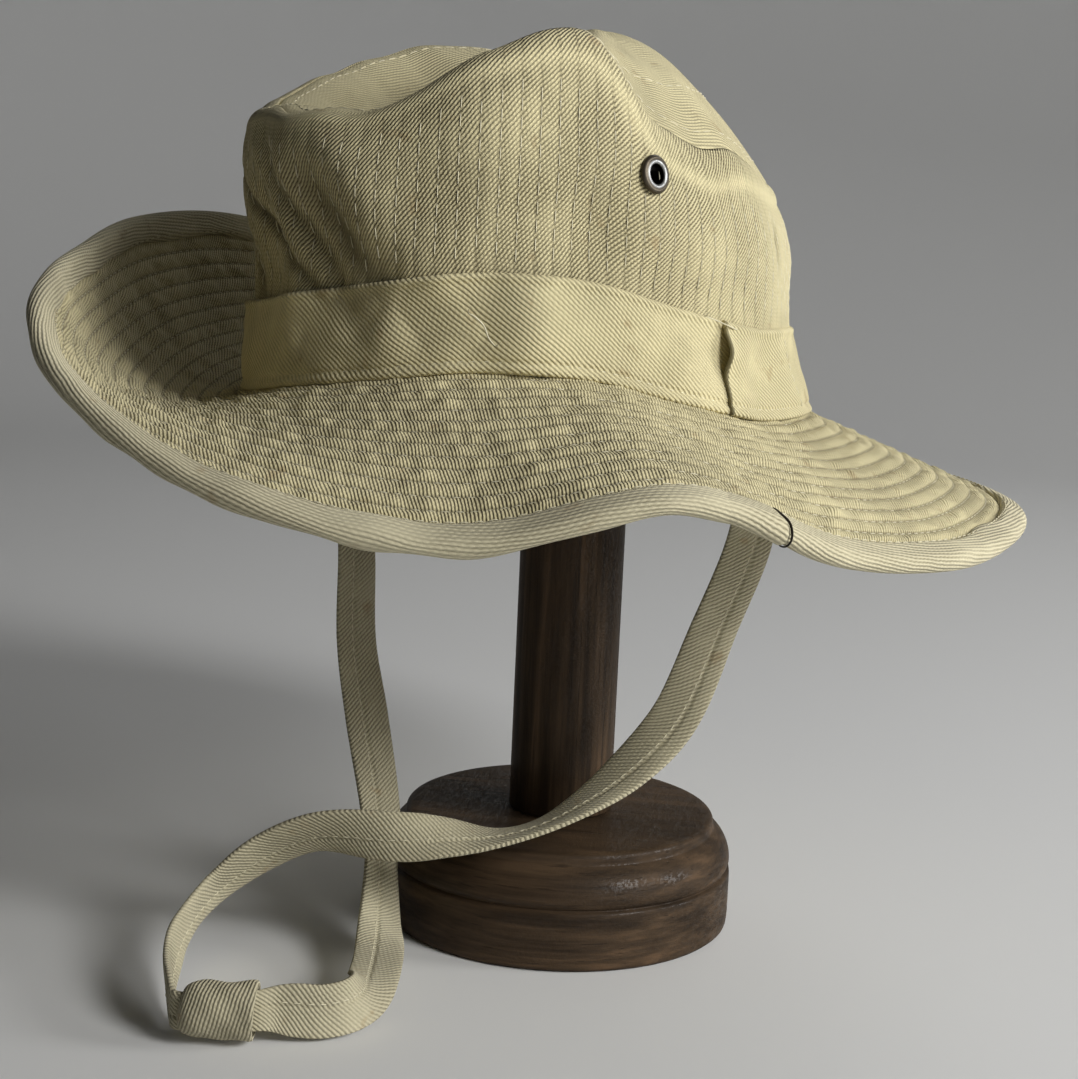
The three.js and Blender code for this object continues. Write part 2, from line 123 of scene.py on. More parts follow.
# Each row is x, y and z of the tape's middle, and the azimuth and tilt of its width in degrees
STRAP_LEFT = (
    (0.0684, -0.006, 0.184, 97, 0),
    (0.0672, -0.005, 0.169, 94, 0),
    (0.067, -0.0015, 0.152, 78, 2),
    (0.0655, 0.0005, 0.1355, 54, -8),
    (0.0575, -0.0045, 0.1065, 50, -16),
    (0.0505, -0.0145, 0.0775, 22, -18),
    (0.041, -0.028, 0.0605, -8, -10),
    (0.0335, -0.0405, 0.0515, -26, 3),
    (0.0265, -0.050, 0.046, -38, 8),
    (0.018, -0.059, 0.043, -43, 0),
    (0.0055, -0.0705, 0.043, -51, -34),
    (-0.0065, -0.079, 0.0425, -54, -72),
    (-0.0285, -0.0895, 0.0415, 92, -61),
    (-0.0425, -0.097, 0.034, 87, -48),
    (-0.051, -0.1075, 0.0245, 112, -50),
    (-0.051, -0.116, 0.0205, 129, -62),
    (-0.0485, -0.125, 0.0165, 124, -70),
    (-0.0435, -0.134, 0.0135, 92, -74),
    (-0.0365, -0.143, 0.011, 70, -80),
    (-0.0295, -0.150, 0.0095, 45, -84),
    (-0.0235, -0.155, 0.009, 35, -86),
    (-0.0186, -0.1584, 0.0088, 30, -88),
    (-0.0135, -0.1555, 0.0088, 30, -88),
)
STRAP_RIGHT = (
    (-0.0816, -0.019, 0.183, 90, 0),
    (-0.0805, -0.020, 0.166, 90, 0),
    (-0.076, -0.022, 0.140, 86, 0),
    (-0.069, -0.027, 0.116, 78, -9),
    (-0.062, -0.034, 0.0875, 73, -8),
    (-0.052, -0.0395, 0.0645, 64, -2),
    (-0.0375, -0.0485, 0.037, 70, -15),
    (-0.029, -0.0575, 0.025, 76, -35),
    (-0.018, -0.0705, 0.0135, 55, -33),
    (-0.0045, -0.087, 0.009, 39, -10),
    (0.0065, -0.103, 0.008, 32, -16),
    (0.0135, -0.1155, 0.008, 16, -62),
    (0.015, -0.1255, 0.0085, -13, -77),
    (0.012, -0.132, 0.0085, -58, -80),
    (0.0075, -0.1365, 0.009, -82, -79),
    (0.003, -0.1405, 0.0094, -53, -77),
    (0.0005, -0.1448, 0.0096, -26, -70),
    (-0.0035, -0.1485, 0.0092, -26, -74),
)


def unit(vectors):
    """Each vector divided by its own length"""
    return vectors / np.linalg.norm(vectors, axis=-1, keepdims=True)


def through_rows(values, spans, steps):
    """A smooth curve through rows of numbers: a cubic between each two rows, whose slope at a row
    is the slope of the parabola through that row and its two neighbours"""
    ends = (2 * values[:1] - values[1:2], 2 * values[-1:] - values[-2:-1])
    padded = np.concatenate([ends[0], values, ends[1]])
    spans = np.concatenate([spans[:1], spans, spans[-1:]])[:, None]
    before, after = spans[:-1], spans[1:]
    rise = np.diff(padded, axis=0) / spans
    slope = rise[:-1] + rise[1:] - (padded[2:] - padded[:-2]) / (before + after)
    t = np.linspace(0, 1, steps, endpoint=False)[None, :, None]
    low, high = values[:-1, None], values[1:, None]
    low_slope = (slope[:-1] * after[:-1])[:, None]
    high_slope = (slope[1:] * after[:-1])[:, None]
    curve = low + t * (low_slope + t * (3 * (high - low) - 2 * low_slope - high_slope
                                        + t * (2 * (low - high) + low_slope + high_slope)))
    return np.concatenate([curve.reshape(-1, values.shape[1]), values[-1:]])


def joined(*parts):
    """The parts of a place, each a number or an array, put together on one grid"""
    return np.stack(np.broadcast_arrays(*parts), axis=-1)


def run_along(line):
    """The length along a line of points, from its first point to each of them"""
    return np.concatenate([[0], np.cumsum(np.linalg.norm(np.diff(line, axis=0), axis=1))])


def at_lengths(spots, length, vectors):
    """Vectors given along a line, read at other lengths of it: straight between two neighbours"""
    return np.stack([np.interp(spots, length, vectors[:, axis]) for axis in range(3)], axis=-1)


def eased(share):
    """A share that leaves 0 and reaches 1 gently: three times its square less twice its cube"""
    return share ** 2 * (3 - 2 * share)


def tape_route(rows, count):
    """The middle line of a tape, the directions of its width and of its face, and the length so far,
    at even steps of its length"""
    table = np.array(rows, dtype=float)
    places = table[:, :3]
    azimuth, tilt = np.radians(table[:, 3]), np.radians(table[:, 4])
    level = np.cos(tilt)
    widths = joined(level * np.cos(azimuth), level * np.sin(azimuth), np.sin(tilt))
    spans = np.sqrt(np.linalg.norm(np.diff(places, axis=0), axis=1))
    curve = through_rows(places, spans, ROUTE_STEPS)
    turns = through_rows(widths, np.ones(len(rows) - 1), ROUTE_STEPS)
    length = run_along(curve)
    even = np.linspace(0, length[-1], count)
    line, across = at_lengths(even, length, curve), at_lengths(even, length, turns)
    ahead = unit(np.gradient(line, axis=0))
    across = unit(across - ahead * np.sum(across * ahead, axis=1, keepdims=True))
    return line, across, np.cross(across, ahead), even


def surface_mesh(name, points, maps, loop_rows=False, loop_columns=False, caps=False):
    """A closed mesh of quads on a grid of points: each quad joins two neighbouring rows and two
    neighbouring columns, a looped direction closes on its first line, and a cap joins the two halves
    of the first and last row. Each map gives a place for every grid line, and for a looped direction
    for the closing line too. The faces are turned round where the body would be inside out."""
    rows, columns = points.shape[:2]
    row = np.arange(rows - (not loop_rows))[:, None]
    column = np.arange(columns - (not loop_columns))[None, :]
    steps = ((0, 0), (1, 0), (1, 1), (0, 1))
    faces = np.stack([(row + r) % rows * columns + (column + c) % columns for r, c in steps], axis=-1)
    faces = faces.reshape(-1, 4)
    near = np.arange(columns // 2 - 1)
    cap = np.stack([near, near + 1, columns - 2 - near, columns - 1 - near], axis=-1)
    if caps:
        faces = np.concatenate([faces, cap, cap[:, ::-1] + (rows - 1) * columns])
    corners = points.reshape(-1, 3)[faces]
    first, second, third, fourth = (corners[:, k] for k in range(4))
    volume = np.sum(first * (np.cross(second, third) + np.cross(third, fourth)))
    turn = slice(None, None, -1 if volume < 0 else 1)
    mesh = bpy.data.meshes.new(name)
    mesh.from_pydata(points.reshape(-1, 3).tolist(), [], faces[:, turn].tolist(), shade_flat=False)
    for title, grid in maps.items():
        places = np.stack([grid[row + r, column + c] for r, c in steps], axis=-2).reshape(-1, 4, 2)
        if caps:
            places = np.concatenate([places, grid[0][cap], grid[-1][cap[:, ::-1]]])
        layer = mesh.uv_layers.new(name=title)
        layer.data.foreach_set("uv", places[:, turn].astype(np.float32).ravel())
    return mesh


def tape_mesh(name, line, across, face, length, seam):
    """A folded tape carried along its line: flat on both sides, thinner at its edges, with a furrow
    along its seam, which lies at a share of its half width, and gathered at its last end"""
    share = np.linspace(-1, 1, STRAP_ACROSS)
    furrow = 1 - STRAP_FURROW * np.exp(-((share - seam) / STRAP_FURROW_WIDE) ** 2)
    half_thick = STRAP_THICK / 2 * furrow * (1 - STRAP_EDGE_THIN * np.abs(share) ** 8)
    half = STRAP_WIDTH / 2
    wide = np.concatenate([share, share[::-1]]) * half
    thick = np.concatenate([half_thick, -half_thick[::-1]])
    gather = eased(np.clip((length - length[-1] + STRAP_GATHER_FROM) / STRAP_GATHER_LONG, 0, 1))
    wide = wide[None] * (1 - STRAP_GATHER * gather)[:, None]
    points = line[:, None] + across[:, None] * wide[..., None] + face[:, None] * thick[None, :, None]
    over = np.concatenate([half + share * half, 3 * half - share[::-1] * half, [4 * half]])
    cloth = joined(length[:, None], over[None, :])
    return surface_mesh(name, points, {"cloth": cloth}, loop_columns=True, caps=True)


def stitch_mesh(name, start, end, up, seed):
    """Sewn stitches: each is a short thread of four-sided section that swells in its middle, rises
    off the cloth there and dips into it at both ends. Its map gives the share along it and a tint."""
    share, swell, rise = np.array(STITCH_STATIONS).T
    rise = rise * THREAD
    count, stations = len(start), len(share)
    side = unit(np.cross(up, end - start))
    middle = start[:, None] + (end - start)[:, None] * share[:, None] + up[:, None] * rise[:, None]
    turns = np.radians((0, 90, 180, 270))
    reach = THREAD / 2 * swell[:, None, None]
    ring = side[:, None, None] * np.cos(turns)[:, None] + up[:, None, None] * np.sin(turns)[:, None]
    points = middle[:, :, None] + ring * reach
    station = np.arange(stations - 1)[:, None] * 4
    turn = np.arange(4)[None, :]
    sides = np.stack([station + turn, station + (turn + 1) % 4,
                      station + 4 + (turn + 1) % 4, station + 4 + turn], axis=-1).reshape(-1, 4)
    last = (stations - 1) * 4
    ends = np.array(((3, 2, 1, 0), (last, last + 1, last + 2, last + 3)))
    pattern = np.concatenate([sides, ends])
    faces = (np.arange(count)[:, None, None] * stations * 4 + pattern).reshape(-1, 4)
    tint = np.random.default_rng(seed).random(count)
    places = joined(share[pattern // 4][None], tint[:, None, None])
    mesh = bpy.data.meshes.new(name)
    mesh.from_pydata(points.reshape(-1, 3).tolist(), [], faces.tolist(), shade_flat=False)
    mesh.uv_layers.new(name="thread").data.foreach_set("uv", places.astype(np.float32).ravel())
    return mesh


def add_piece(name, mesh, material):
    """An object at the origin that shows one mesh in one material"""
    piece = bpy.data.objects.new(name, mesh)
    mesh.materials.append(material)
    bpy.context.scene.collection.objects.link(piece)
    return piece


def feed(tree, sockets, values):
    """Each named socket linked to another one or set to a value"""
    for title, value in dict(values).items():
        if isinstance(value, bpy.types.NodeSocket):
            tree.links.new(value, sockets[title])
        else:
            sockets[title].default_value = value


def add_node(tree, kind, inputs=(), **settings):
    """A shader node with its settings and its inputs"""
    made = tree.nodes.new(kind)
    for title, value in settings.items():
        setattr(made, title, value)
    feed(tree, made.inputs, inputs)
    return made


def new_material(name):
    """A new material, its node tree and its surface shader"""
    material = bpy.data.materials.new(name)
    material.use_nodes = True
    return material, material.node_tree, material.node_tree.nodes["Principled BSDF"]


def map_of(tree, title):
    """The places that one of a mesh's maps gives"""
    return add_node(tree, "ShaderNodeUVMap", uv_map=title).outputs["UV"]


def parts_of(tree, vector):
    """A vector's X, Y and Z"""
    return add_node(tree, "ShaderNodeSeparateXYZ", {0: vector}).outputs


def math_of(tree, operation, *values):
    """The result of one arithmetic node"""
    return add_node(tree, "ShaderNodeMath", enumerate(values), operation=operation).outputs[0]


def vector_of(tree, operation, *values):
    """The vector that one vector node puts out"""
    return add_node(tree, "ShaderNodeVectorMath", enumerate(values), operation=operation).outputs[0]


def scaled_of(tree, vector, scale):
    """A vector made longer by a factor"""
    inputs = {0: vector, "Scale": scale}
    return add_node(tree, "ShaderNodeVectorMath", inputs, operation="SCALE").outputs[0]


def dot_of(tree, first, second):
    """How far one vector reaches along another"""
    inputs = {0: first, 1: second}
    return add_node(tree, "ShaderNodeVectorMath", inputs, operation="DOT_PRODUCT").outputs["Value"]


def blend_of(tree, factor, first, second):
    """Two colours mixed by a factor"""
    mixed = add_node(tree, "ShaderNodeMix", data_type="RGBA")
    sockets = {socket.name: socket for socket in mixed.inputs if socket.enabled}
    colours = [(*colour, 1) if isinstance(colour, tuple) else colour for colour in (first, second)]
    feed(tree, sockets, {"Factor": factor, "A": colours[0], "B": colours[1]})
    return next(socket for socket in mixed.outputs if socket.enabled)


def range_of(tree, value, low, high):
    """A value that rises smoothly from 0 at low to 1 at high"""
    inputs = {"Value": value, "From Min": low, "From Max": high}
    return add_node(tree, "ShaderNodeMapRange", inputs, interpolation_type="SMOOTHSTEP").outputs[0]


def noise_of(tree, place, scale, detail=2.0, roughness=0.5):
    """Soft noise on a flat map"""
    inputs = {"Vector": place, "Scale": scale, "Detail": detail, "Roughness": roughness}
    return add_node(tree, "ShaderNodeTexNoise", inputs, noise_dimensions="2D")


def weave_group():
    """Drill twill on a map in metres: rounded ribs side by side, each broken into floats that step
    from rib to rib, all a little uneven. Across and Along count ribs and floats along the map."""
    tree = bpy.data.node_groups.new("drill weave", "ShaderNodeTree")
    for title in ("Place", "Across", "Along"):
        tree.interface.new_socket(title, in_out="INPUT", socket_type="NodeSocketVector")
    for title in ("Relief", "Groove", "Fade"):
        tree.interface.new_socket(title, in_out="OUTPUT", socket_type="NodeSocketFloat")
    source = tree.nodes.new("NodeGroupInput").outputs
    sink = tree.nodes.new("NodeGroupOutput").inputs
    drift = noise_of(tree, source["Place"], 70, 3).outputs["Color"]
    drift = vector_of(tree, "SUBTRACT", drift, (0.5, 0.5, 0.5))
    place = vector_of(tree, "ADD", source["Place"], scaled_of(tree, drift, WEAVE_DRIFT))
    ribs = dot_of(tree, place, source["Across"])
    floats = dot_of(tree, place, source["Along"])
    wave = math_of(tree, "COSINE", math_of(tree, "MULTIPLY", ribs, 2 * math.pi))
    rib = math_of(tree, "MULTIPLY_ADD", wave, 0.5, 0.5)
    stepped = math_of(tree, "MULTIPLY_ADD", math_of(tree, "ROUND", ribs), FLOAT_STEP, floats)
    beat = math_of(tree, "COSINE", math_of(tree, "MULTIPLY", stepped, 2 * math.pi))
    float_rise = math_of(tree, "MULTIPLY_ADD", beat, 0.5, 0.5)
    fibre = noise_of(tree, source["Place"], 2400, 2, 0.6).outputs["Fac"]
    body = math_of(tree, "MULTIPLY", math_of(tree, "POWER", rib, 0.7),
                   math_of(tree, "MULTIPLY_ADD", float_rise, 0.3, 0.7))
    tree.links.new(math_of(tree, "MULTIPLY_ADD", fibre, 0.25, body), sink["Relief"])
    valley = math_of(tree, "POWER", math_of(tree, "SUBTRACT", 1, rib), 1.35)
    gap = math_of(tree, "MULTIPLY_ADD", float_rise, -0.6, 1)
    tree.links.new(math_of(tree, "MULTIPLY", valley, gap), sink["Groove"])
    tree.links.new(noise_of(tree, source["Place"], 26, 5, 0.62).outputs["Fac"], sink["Fade"])
    return tree


drill_weave = weave_group()


def drill_material(name, rib, angle, colour, groove, relief=0.0003, contrast=0.95, rows=None, seam=0.26,
                   plain=None, folds=None):
    """Cotton drill: pale ribs and dark grooves from the weave, faded in soft patches and stained in
    small ones, with a low relief. The angle is the ribs' direction on the cloth map. Rows of stitches
    are a map, its axis, the first row's place, the step and how far the ribs jump from row to row, and
    painted shade darkens the cloth along them by the seam's share. Plain gives four places along the map's X,
    between which the ribs and rows fade out and come back. The shade-and-rub map's X paints shade into
    creases and dents, and its Y pales the cloth where it is rubbed."""
    material, tree, shader = new_material(name)
    place = map_of(tree, "cloth")
    turn = math.radians(angle)
    woven = place
    if rows:
        title, axis, first, step, jump = rows
        spot = parts_of(tree, map_of(tree, title))[axis]
        count = math_of(tree, "DIVIDE", math_of(tree, "SUBTRACT", spot, first), step)
        chance = add_node(tree, "ShaderNodeTexWhiteNoise", {"W": math_of(tree, "FLOOR", count)},
                          noise_dimensions="1D").outputs["Value"]
        move = (-math.sin(turn) * rib * jump, math.cos(turn) * rib * jump, 0)
        woven = vector_of(tree, "ADD", place, scaled_of(tree, move, chance))
    across = (-math.sin(turn) / rib, math.cos(turn) / rib, 0)
    along = (math.cos(turn) / (FLOAT_LONG * rib), math.sin(turn) / (FLOAT_LONG * rib), 0)
    inputs = {"Place": woven, "Across": across, "Along": along}
    weave = add_node(tree, "ShaderNodeGroup", inputs, node_tree=drill_weave).outputs
    worn = range_of(tree, weave["Fade"], 0.42, 0.72)
    faint = 0.0
    if plain:
        spot = parts_of(tree, place)["X"]
        faint = math_of(tree, "MULTIPLY", range_of(tree, spot, *plain[:2]),
                        range_of(tree, spot, *plain[:1:-1]))
        worn = math_of(tree, "MAXIMUM", worn, math_of(tree, "MULTIPLY", faint, PLAIN_WORN))
    depth = math_of(tree, "MULTIPLY_ADD", worn, -GROOVE_LOSS, contrast)
    cloth = blend_of(tree, math_of(tree, "MULTIPLY", weave["Groove"], depth), colour, groove)
    pale = tuple(min(1, DRILL_PALE * part) for part in colour)
    cloth = blend_of(tree, math_of(tree, "MULTIPLY", worn, FADED_SHOWS), cloth, pale)
    grime = math_of(tree, "MULTIPLY", range_of(tree, weave["Fade"], 0.45, 0.22), GRIME_SHOWS)
    cloth = blend_of(tree, grime, cloth, tuple(DRILL_DULL * part for part in colour))
    spots = noise_of(tree, place, 95, 3, 0.55).outputs["Fac"]
    stain = math_of(tree, "MULTIPLY", range_of(tree, spots, 0.66, 0.78), STAIN_SHOWS)
    cloth = blend_of(tree, stain, cloth, STAIN_COLOUR)
    # Painted shade in the furrows along the stitched rows, as strong as the seam's share
    if rows:
        off = math_of(tree, "ABSOLUTE", math_of(tree, "SUBTRACT", count, math_of(tree, "ROUND", count)))
        row_shade_share = math_of(tree, "MULTIPLY_ADD", faint, -ROW_LOSS, seam)
        drawn = math_of(tree, "MULTIPLY", range_of(tree, off, 0.15, 0.02), row_shade_share)
        cloth = blend_of(tree, drawn, cloth, groove)
    # Painted shade in creases and dents from the map's X, and paler rubbed cloth from its Y
    if folds:
        fold = parts_of(tree, map_of(tree, folds))
        cloth = blend_of(tree, math_of(tree, "MULTIPLY", fold["Y"], RUBBED_SHOWS), cloth, pale)
        painted_crease_shade = tuple(DRILL_CREASE_SHADE * part for part in groove)
        cloth = blend_of(tree, math_of(tree, "MULTIPLY", fold["X"], CREASE_SHADE_SHOWS), cloth, painted_crease_shade)
    bump = add_node(tree, "ShaderNodeBump", {"Height": weave["Relief"], "Strength": 1, "Distance": relief})
    feed(tree, shader.inputs, {
        "Base Color": cloth,
        "Roughness": 0.95,
        "Specular IOR Level": 0.15,
        "Sheen Weight": 0.08,
        "Sheen Roughness": 0.6,
        "Normal": bump.outputs["Normal"],
    })
    return material


def thread_material():
    """Cotton sewing thread, pale in the middle of each stitch and dark where it enters the cloth"""
    material, tree, shader = new_material("sewing thread")
    parts = parts_of(tree, map_of(tree, "thread"))
    from_middle = math_of(tree, "ABSOLUTE", math_of(tree, "SUBTRACT", parts["X"], 0.5))
    sunk = range_of(tree, from_middle, 0.36, 0.5)
    pale = blend_of(tree, math_of(tree, "MULTIPLY", parts["Y"], 0.45), THREAD_COLOUR, STRAP_COLOUR)
    colour = blend_of(tree, sunk, pale, THREAD_END_COLOUR)
    feed(tree, shader.inputs, {"Base Color": colour, "Roughness": 0.8})
    return material


strap_cloth = drill_material("strap drill", STRAP_RIB, STRAP_RIB_ANGLE, STRAP_COLOUR, STRAP_GROOVE,
                             contrast=0.82)
sewing_thread = thread_material()


def sew_strap(name, line, across, face, length, seam, seed):
    """A row of stitches beside the tape's seam, on both of its faces"""
    starts = np.arange(STRAP_SEWN_FROM, length[-1] - STRAP_SEWN_SHORT, STRAP_STITCH_PITCH)
    row = seam * STRAP_WIDTH / 2 - STRAP_SEAM_BESIDE
    lift = STRAP_THICK / 2 - THREAD_SINK
    begin, finish, up = [], [], []
    for sign in (1, -1):
        for spots, ends in ((starts, begin), (starts + STRAP_STITCH, finish)):
            middle, side, out = (at_lengths(spots, length, part) for part in (line, across, face))
            ends.append(middle + side * row + out * sign * lift)
        up.append(sign * at_lengths(starts, length, face))
    return stitch_mesh(name, *map(np.concatenate, (begin, finish, up)), seed)


straps = {}
for side, rows, seam, seed in (("left", STRAP_LEFT, 0.28, 3), ("right", STRAP_RIGHT, -0.16, 4)):
    route = tape_route(rows, STRAP_STEPS)
    strap = add_piece(f"chin_strap_{side}", tape_mesh(f"chin strap {side}", *route, seam), strap_cloth)
    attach(strap, "root")
    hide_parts(f"strap_{side}")
    sewn = add_piece(f"chin_strap_{side}_stitches", sew_strap(f"strap stitches {side}", *route, seam, seed),
                     sewing_thread)
    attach(sewn, "root")
    straps[side] = {"piece": strap, "line": route[0], "length": float(route[3][-1]), "stitches": sewn}

# Knot of the chin strap
# The left tape's end is wrapped once round the right one and sewn to itself, in a short rounded
# sleeve that is shut at its left end and gapes at its right, where the other tape goes in.
KNOT_MIDDLE = (-0.0088, -0.1518, 0.0094)
KNOT_HALF = (0.0108, 0.0074, 0.0088)
KNOT_TURN = math.radians(35)
KNOT_SLANT = math.radians(-52)
KNOT_SIDES = 96
KNOT_STEP = 0.06
KNOT_STEP_AT = 0.42
KNOT_STEP_SLANT = 0.10
KNOT_STEP_END = 0.04
KNOT_WAVES = (0.025, 0.015)
KNOT_TILT = 0.05
# Each row is a share along the sleeve and a share of its radius: outside, round the lip, and inside
KNOT_PROFILE = (
    (-1.00, 0.03), (-0.99, 0.30), (-0.94, 0.58), (-0.84, 0.78), (-0.66, 0.91), (-0.40, 0.97), (-0.05, 0.97),
    (0.30, 0.96), (0.62, 0.98), (0.84, 1.01), (0.95, 1.02), (1.01, 0.98), (1.00, 0.90), (0.90, 0.86),
    (0.60, 0.82), (0.25, 0.70), (0.10, 0.45), (0.06, 0.04),
)


def rounded(profile, rounds):
    """A profile with its corners cut: each round puts two points at a quarter and three quarters of
    every side"""
    line = np.array(profile, dtype=float)
    for _ in range(rounds):
        ahead = np.diff(line, axis=0)
        cut = np.stack([line[:-1] + 0.25 * ahead, line[:-1] + 0.75 * ahead], axis=1).reshape(-1, 2)
        line = np.concatenate([line[:1], cut, line[-1:]])
    return line


def knot_mesh():
    """The sleeve's profile turned round its length as an oval, its wall raised in a low step where
    the wrapped end of the tape lies over the first turn, and creased by soft waves round it"""
    line = rounded(KNOT_PROFILE, rounds=2)
    share, radius = line[:, :1], line[:, 1:]
    turn = np.linspace(0, 2 * np.pi, KNOT_SIDES, endpoint=False)[None, :]
    step = np.mod(turn / (2 * np.pi) + KNOT_STEP_SLANT * share + KNOT_STEP_AT, 1)
    step_rise = step ** 2 * np.clip((1 - step) / KNOT_STEP_END, 0, 1)
    radius = radius * (1 - KNOT_STEP + KNOT_STEP * step_rise)
    waves = KNOT_WAVES[0] * np.sin(3 * turn + 4 * share) + KNOT_WAVES[1] * np.sin(5 * turn - 7 * share)
    radius = radius * (1 + waves)
    long = KNOT_HALF[0] * (share + KNOT_TILT * np.sin(turn))
    deep = KNOT_HALF[1] * radius * np.cos(turn)
    tall = KNOT_HALF[2] * radius * np.sin(turn)
    x = KNOT_MIDDLE[0] + long * np.cos(KNOT_TURN) - deep * np.sin(KNOT_TURN)
    y = KNOT_MIDDLE[1] + long * np.sin(KNOT_TURN) + deep * np.cos(KNOT_TURN)
    points = joined(x, y, KNOT_MIDDLE[2] + tall)
    run = run_along(line * (KNOT_HALF[0], KNOT_HALF[2]))[:, None]
    over = KNOT_HALF[2] * np.linspace(0, 2 * np.pi, KNOT_SIDES + 1)[None, :]
    cloth = joined(run * np.cos(KNOT_SLANT) - over * np.sin(KNOT_SLANT),
                   run * np.sin(KNOT_SLANT) + over * np.cos(KNOT_SLANT))
    return surface_mesh("strap knot", points, {"cloth": cloth}, loop_columns=True, caps=True)


knot = add_piece("strap_knot_tied", knot_mesh(), strap_cloth)
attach(knot, "root")
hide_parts("strap_knot")
for side in straps:
    strap = straps[side]

# Stand base
# A round block of dark stained walnut, turned with a groove, a quarter-round moulding and a low
# raised disc, and finished with a satin varnish.
BASE_RADIUS = 0.0575
BASE_WALL = 0.019
BASE_TOP = 0.036
BASE_DISC = 0.051
BASE_SIDES = 192
WALNUT_DARK = (0.022, 0.014, 0.008)
WALNUT = (0.068, 0.043, 0.024)
WALNUT_WARM = (0.130, 0.077, 0.042)
# Each row is a radius and a height, from the foot to the disc's top
BASE_PROFILE = (
    (BASE_RADIUS - 0.0012, 0.0),
    (BASE_RADIUS, 0.0010),
    (BASE_RADIUS, 0.0090),
    (BASE_RADIUS, BASE_WALL - 0.0010),
    (BASE_RADIUS - 0.0005, BASE_WALL - 0.0001),
    (BASE_RADIUS - 0.0016, BASE_WALL + 0.0004),
    (BASE_RADIUS - 0.0008, BASE_WALL + 0.0012),
    (BASE_RADIUS - 0.0002, BASE_WALL + 0.0030),
    (BASE_RADIUS - 0.0008, BASE_WALL + 0.0066),
    (BASE_RADIUS - 0.0026, BASE_WALL + 0.0102),
    (BASE_DISC + 0.0010, BASE_TOP - 0.0042),
    (BASE_DISC + 0.0002, BASE_TOP - 0.0036),
    (BASE_DISC + 0.0002, BASE_TOP - 0.0012),
    (BASE_DISC - 0.0010, BASE_TOP),
    (BASE_DISC - 0.0060, BASE_TOP),
)


def turned_mesh(name, line, sides, place=np.eye(4), closed=False):
    """A profile of radius and height turned about its axis, which is then set at a place. A closed
    profile ends where it starts, and an open one is capped at both ends."""
    turn = np.linspace(0, 2 * np.pi, sides, endpoint=False)
    profile = line[:-1] if closed else line
    radius, height = profile[:, :1], profile[:, 1:]
    points = joined(radius * np.cos(turn), radius * np.sin(turn), height)
    points = points @ place[:3, :3].T + place[:3, 3]
    ring = joined(np.linspace(0, 1, sides + 1)[None, :], line[:, :1])
    return surface_mesh(name, points, {"ring": ring}, loop_rows=closed, loop_columns=True, caps=not closed)


def walnut_group():
    """Dark walnut whose grain runs along X of the place: long streaks of warm and dark wood, fine
    dark pores drawn out along the grain, and a varnish that has worn to a fine speckle"""
    tree = bpy.data.node_groups.new("stained walnut", "ShaderNodeTree")
    tree.interface.new_socket("Place", in_out="INPUT", socket_type="NodeSocketVector")
    tree.interface.new_socket("Colour", in_out="OUTPUT", socket_type="NodeSocketColor")
    for title in ("Roughness", "Varnish", "Relief"):
        tree.interface.new_socket(title, in_out="OUTPUT", socket_type="NodeSocketFloat")
    place = tree.nodes.new("NodeGroupInput").outputs["Place"]
    sink = tree.nodes.new("NodeGroupOutput").inputs

    def grain(stretch, scale, detail):
        drawn = vector_of(tree, "MULTIPLY", place, stretch)
        inputs = {"Vector": drawn, "Scale": scale, "Detail": detail, "Roughness": 0.6, "Distortion": 0.1}
        return add_node(tree, "ShaderNodeTexNoise", inputs).outputs["Fac"]

    streak = grain((0.045, 1, 1), 260, 4)
    pore = grain((0.03, 1, 1), 1100, 2)
    cloud = grain((0.4, 1, 1), 24, 3)
    speckle = grain((1, 1, 1), 1100, 2)
    wood = blend_of(tree, range_of(tree, streak, 0.3, 0.7), WALNUT_DARK, WALNUT)
    warm = math_of(tree, "MULTIPLY", range_of(tree, streak, 0.55, 0.8), range_of(tree, cloud, 0.35, 0.65))
    wood = blend_of(tree, warm, wood, WALNUT_WARM)
    pores = math_of(tree, "MULTIPLY", range_of(tree, pore, 0.6, 0.72), 0.75)
    tree.links.new(blend_of(tree, pores, wood, WALNUT_DARK), sink["Colour"])
    tree.links.new(math_of(tree, "MULTIPLY_ADD", cloud, 0.2, 0.5), sink["Roughness"])
    tree.links.new(math_of(tree, "MULTIPLY", range_of(tree, speckle, 0.44, 0.6), 0.2), sink["Varnish"])
    relief = math_of(tree, "MULTIPLY_ADD", pores, -0.8, math_of(tree, "MULTIPLY", speckle, 0.7))
    tree.links.new(relief, sink["Relief"])
    return tree


stained_walnut = walnut_group()


def walnut_material(name, turn, spread):
    """Varnished walnut, with the grain turned to lie as it does in this piece, and drawn out across by
    a spread below one where the block shows its layers"""
    material, tree, shader = new_material(name)
    place = add_node(tree, "ShaderNodeTexCoord").outputs["Object"]
    place = add_node(tree, "ShaderNodeMapping", {"Vector": place, "Rotation": turn}).outputs["Vector"]
    place = vector_of(tree, "MULTIPLY", place, (1, spread, 1))
    wood = add_node(tree, "ShaderNodeGroup", {"Place": place}, node_tree=stained_walnut).outputs
    bump = add_node(tree, "ShaderNodeBump", {"Height": wood["Relief"], "Strength": 0.35, "Distance": 0.0004})
    feed(tree, shader.inputs, {
        "Base Color": wood["Colour"],
        "Roughness": wood["Roughness"],
        "Specular IOR Level": 0.12,
        "Coat Weight": wood["Varnish"],
        "Coat Roughness": 0.24,
        "Normal": bump.outputs["Normal"],
    })
    return material


base_profile = rounded(BASE_PROFILE, rounds=2)
base = add_piece("stand_base_turned", turned_mesh("stand base", base_profile, BASE_SIDES),
                 walnut_material("base walnut", (0, 0, math.radians(-25)), 0.25))
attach(base, "root")
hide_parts("stand_base")

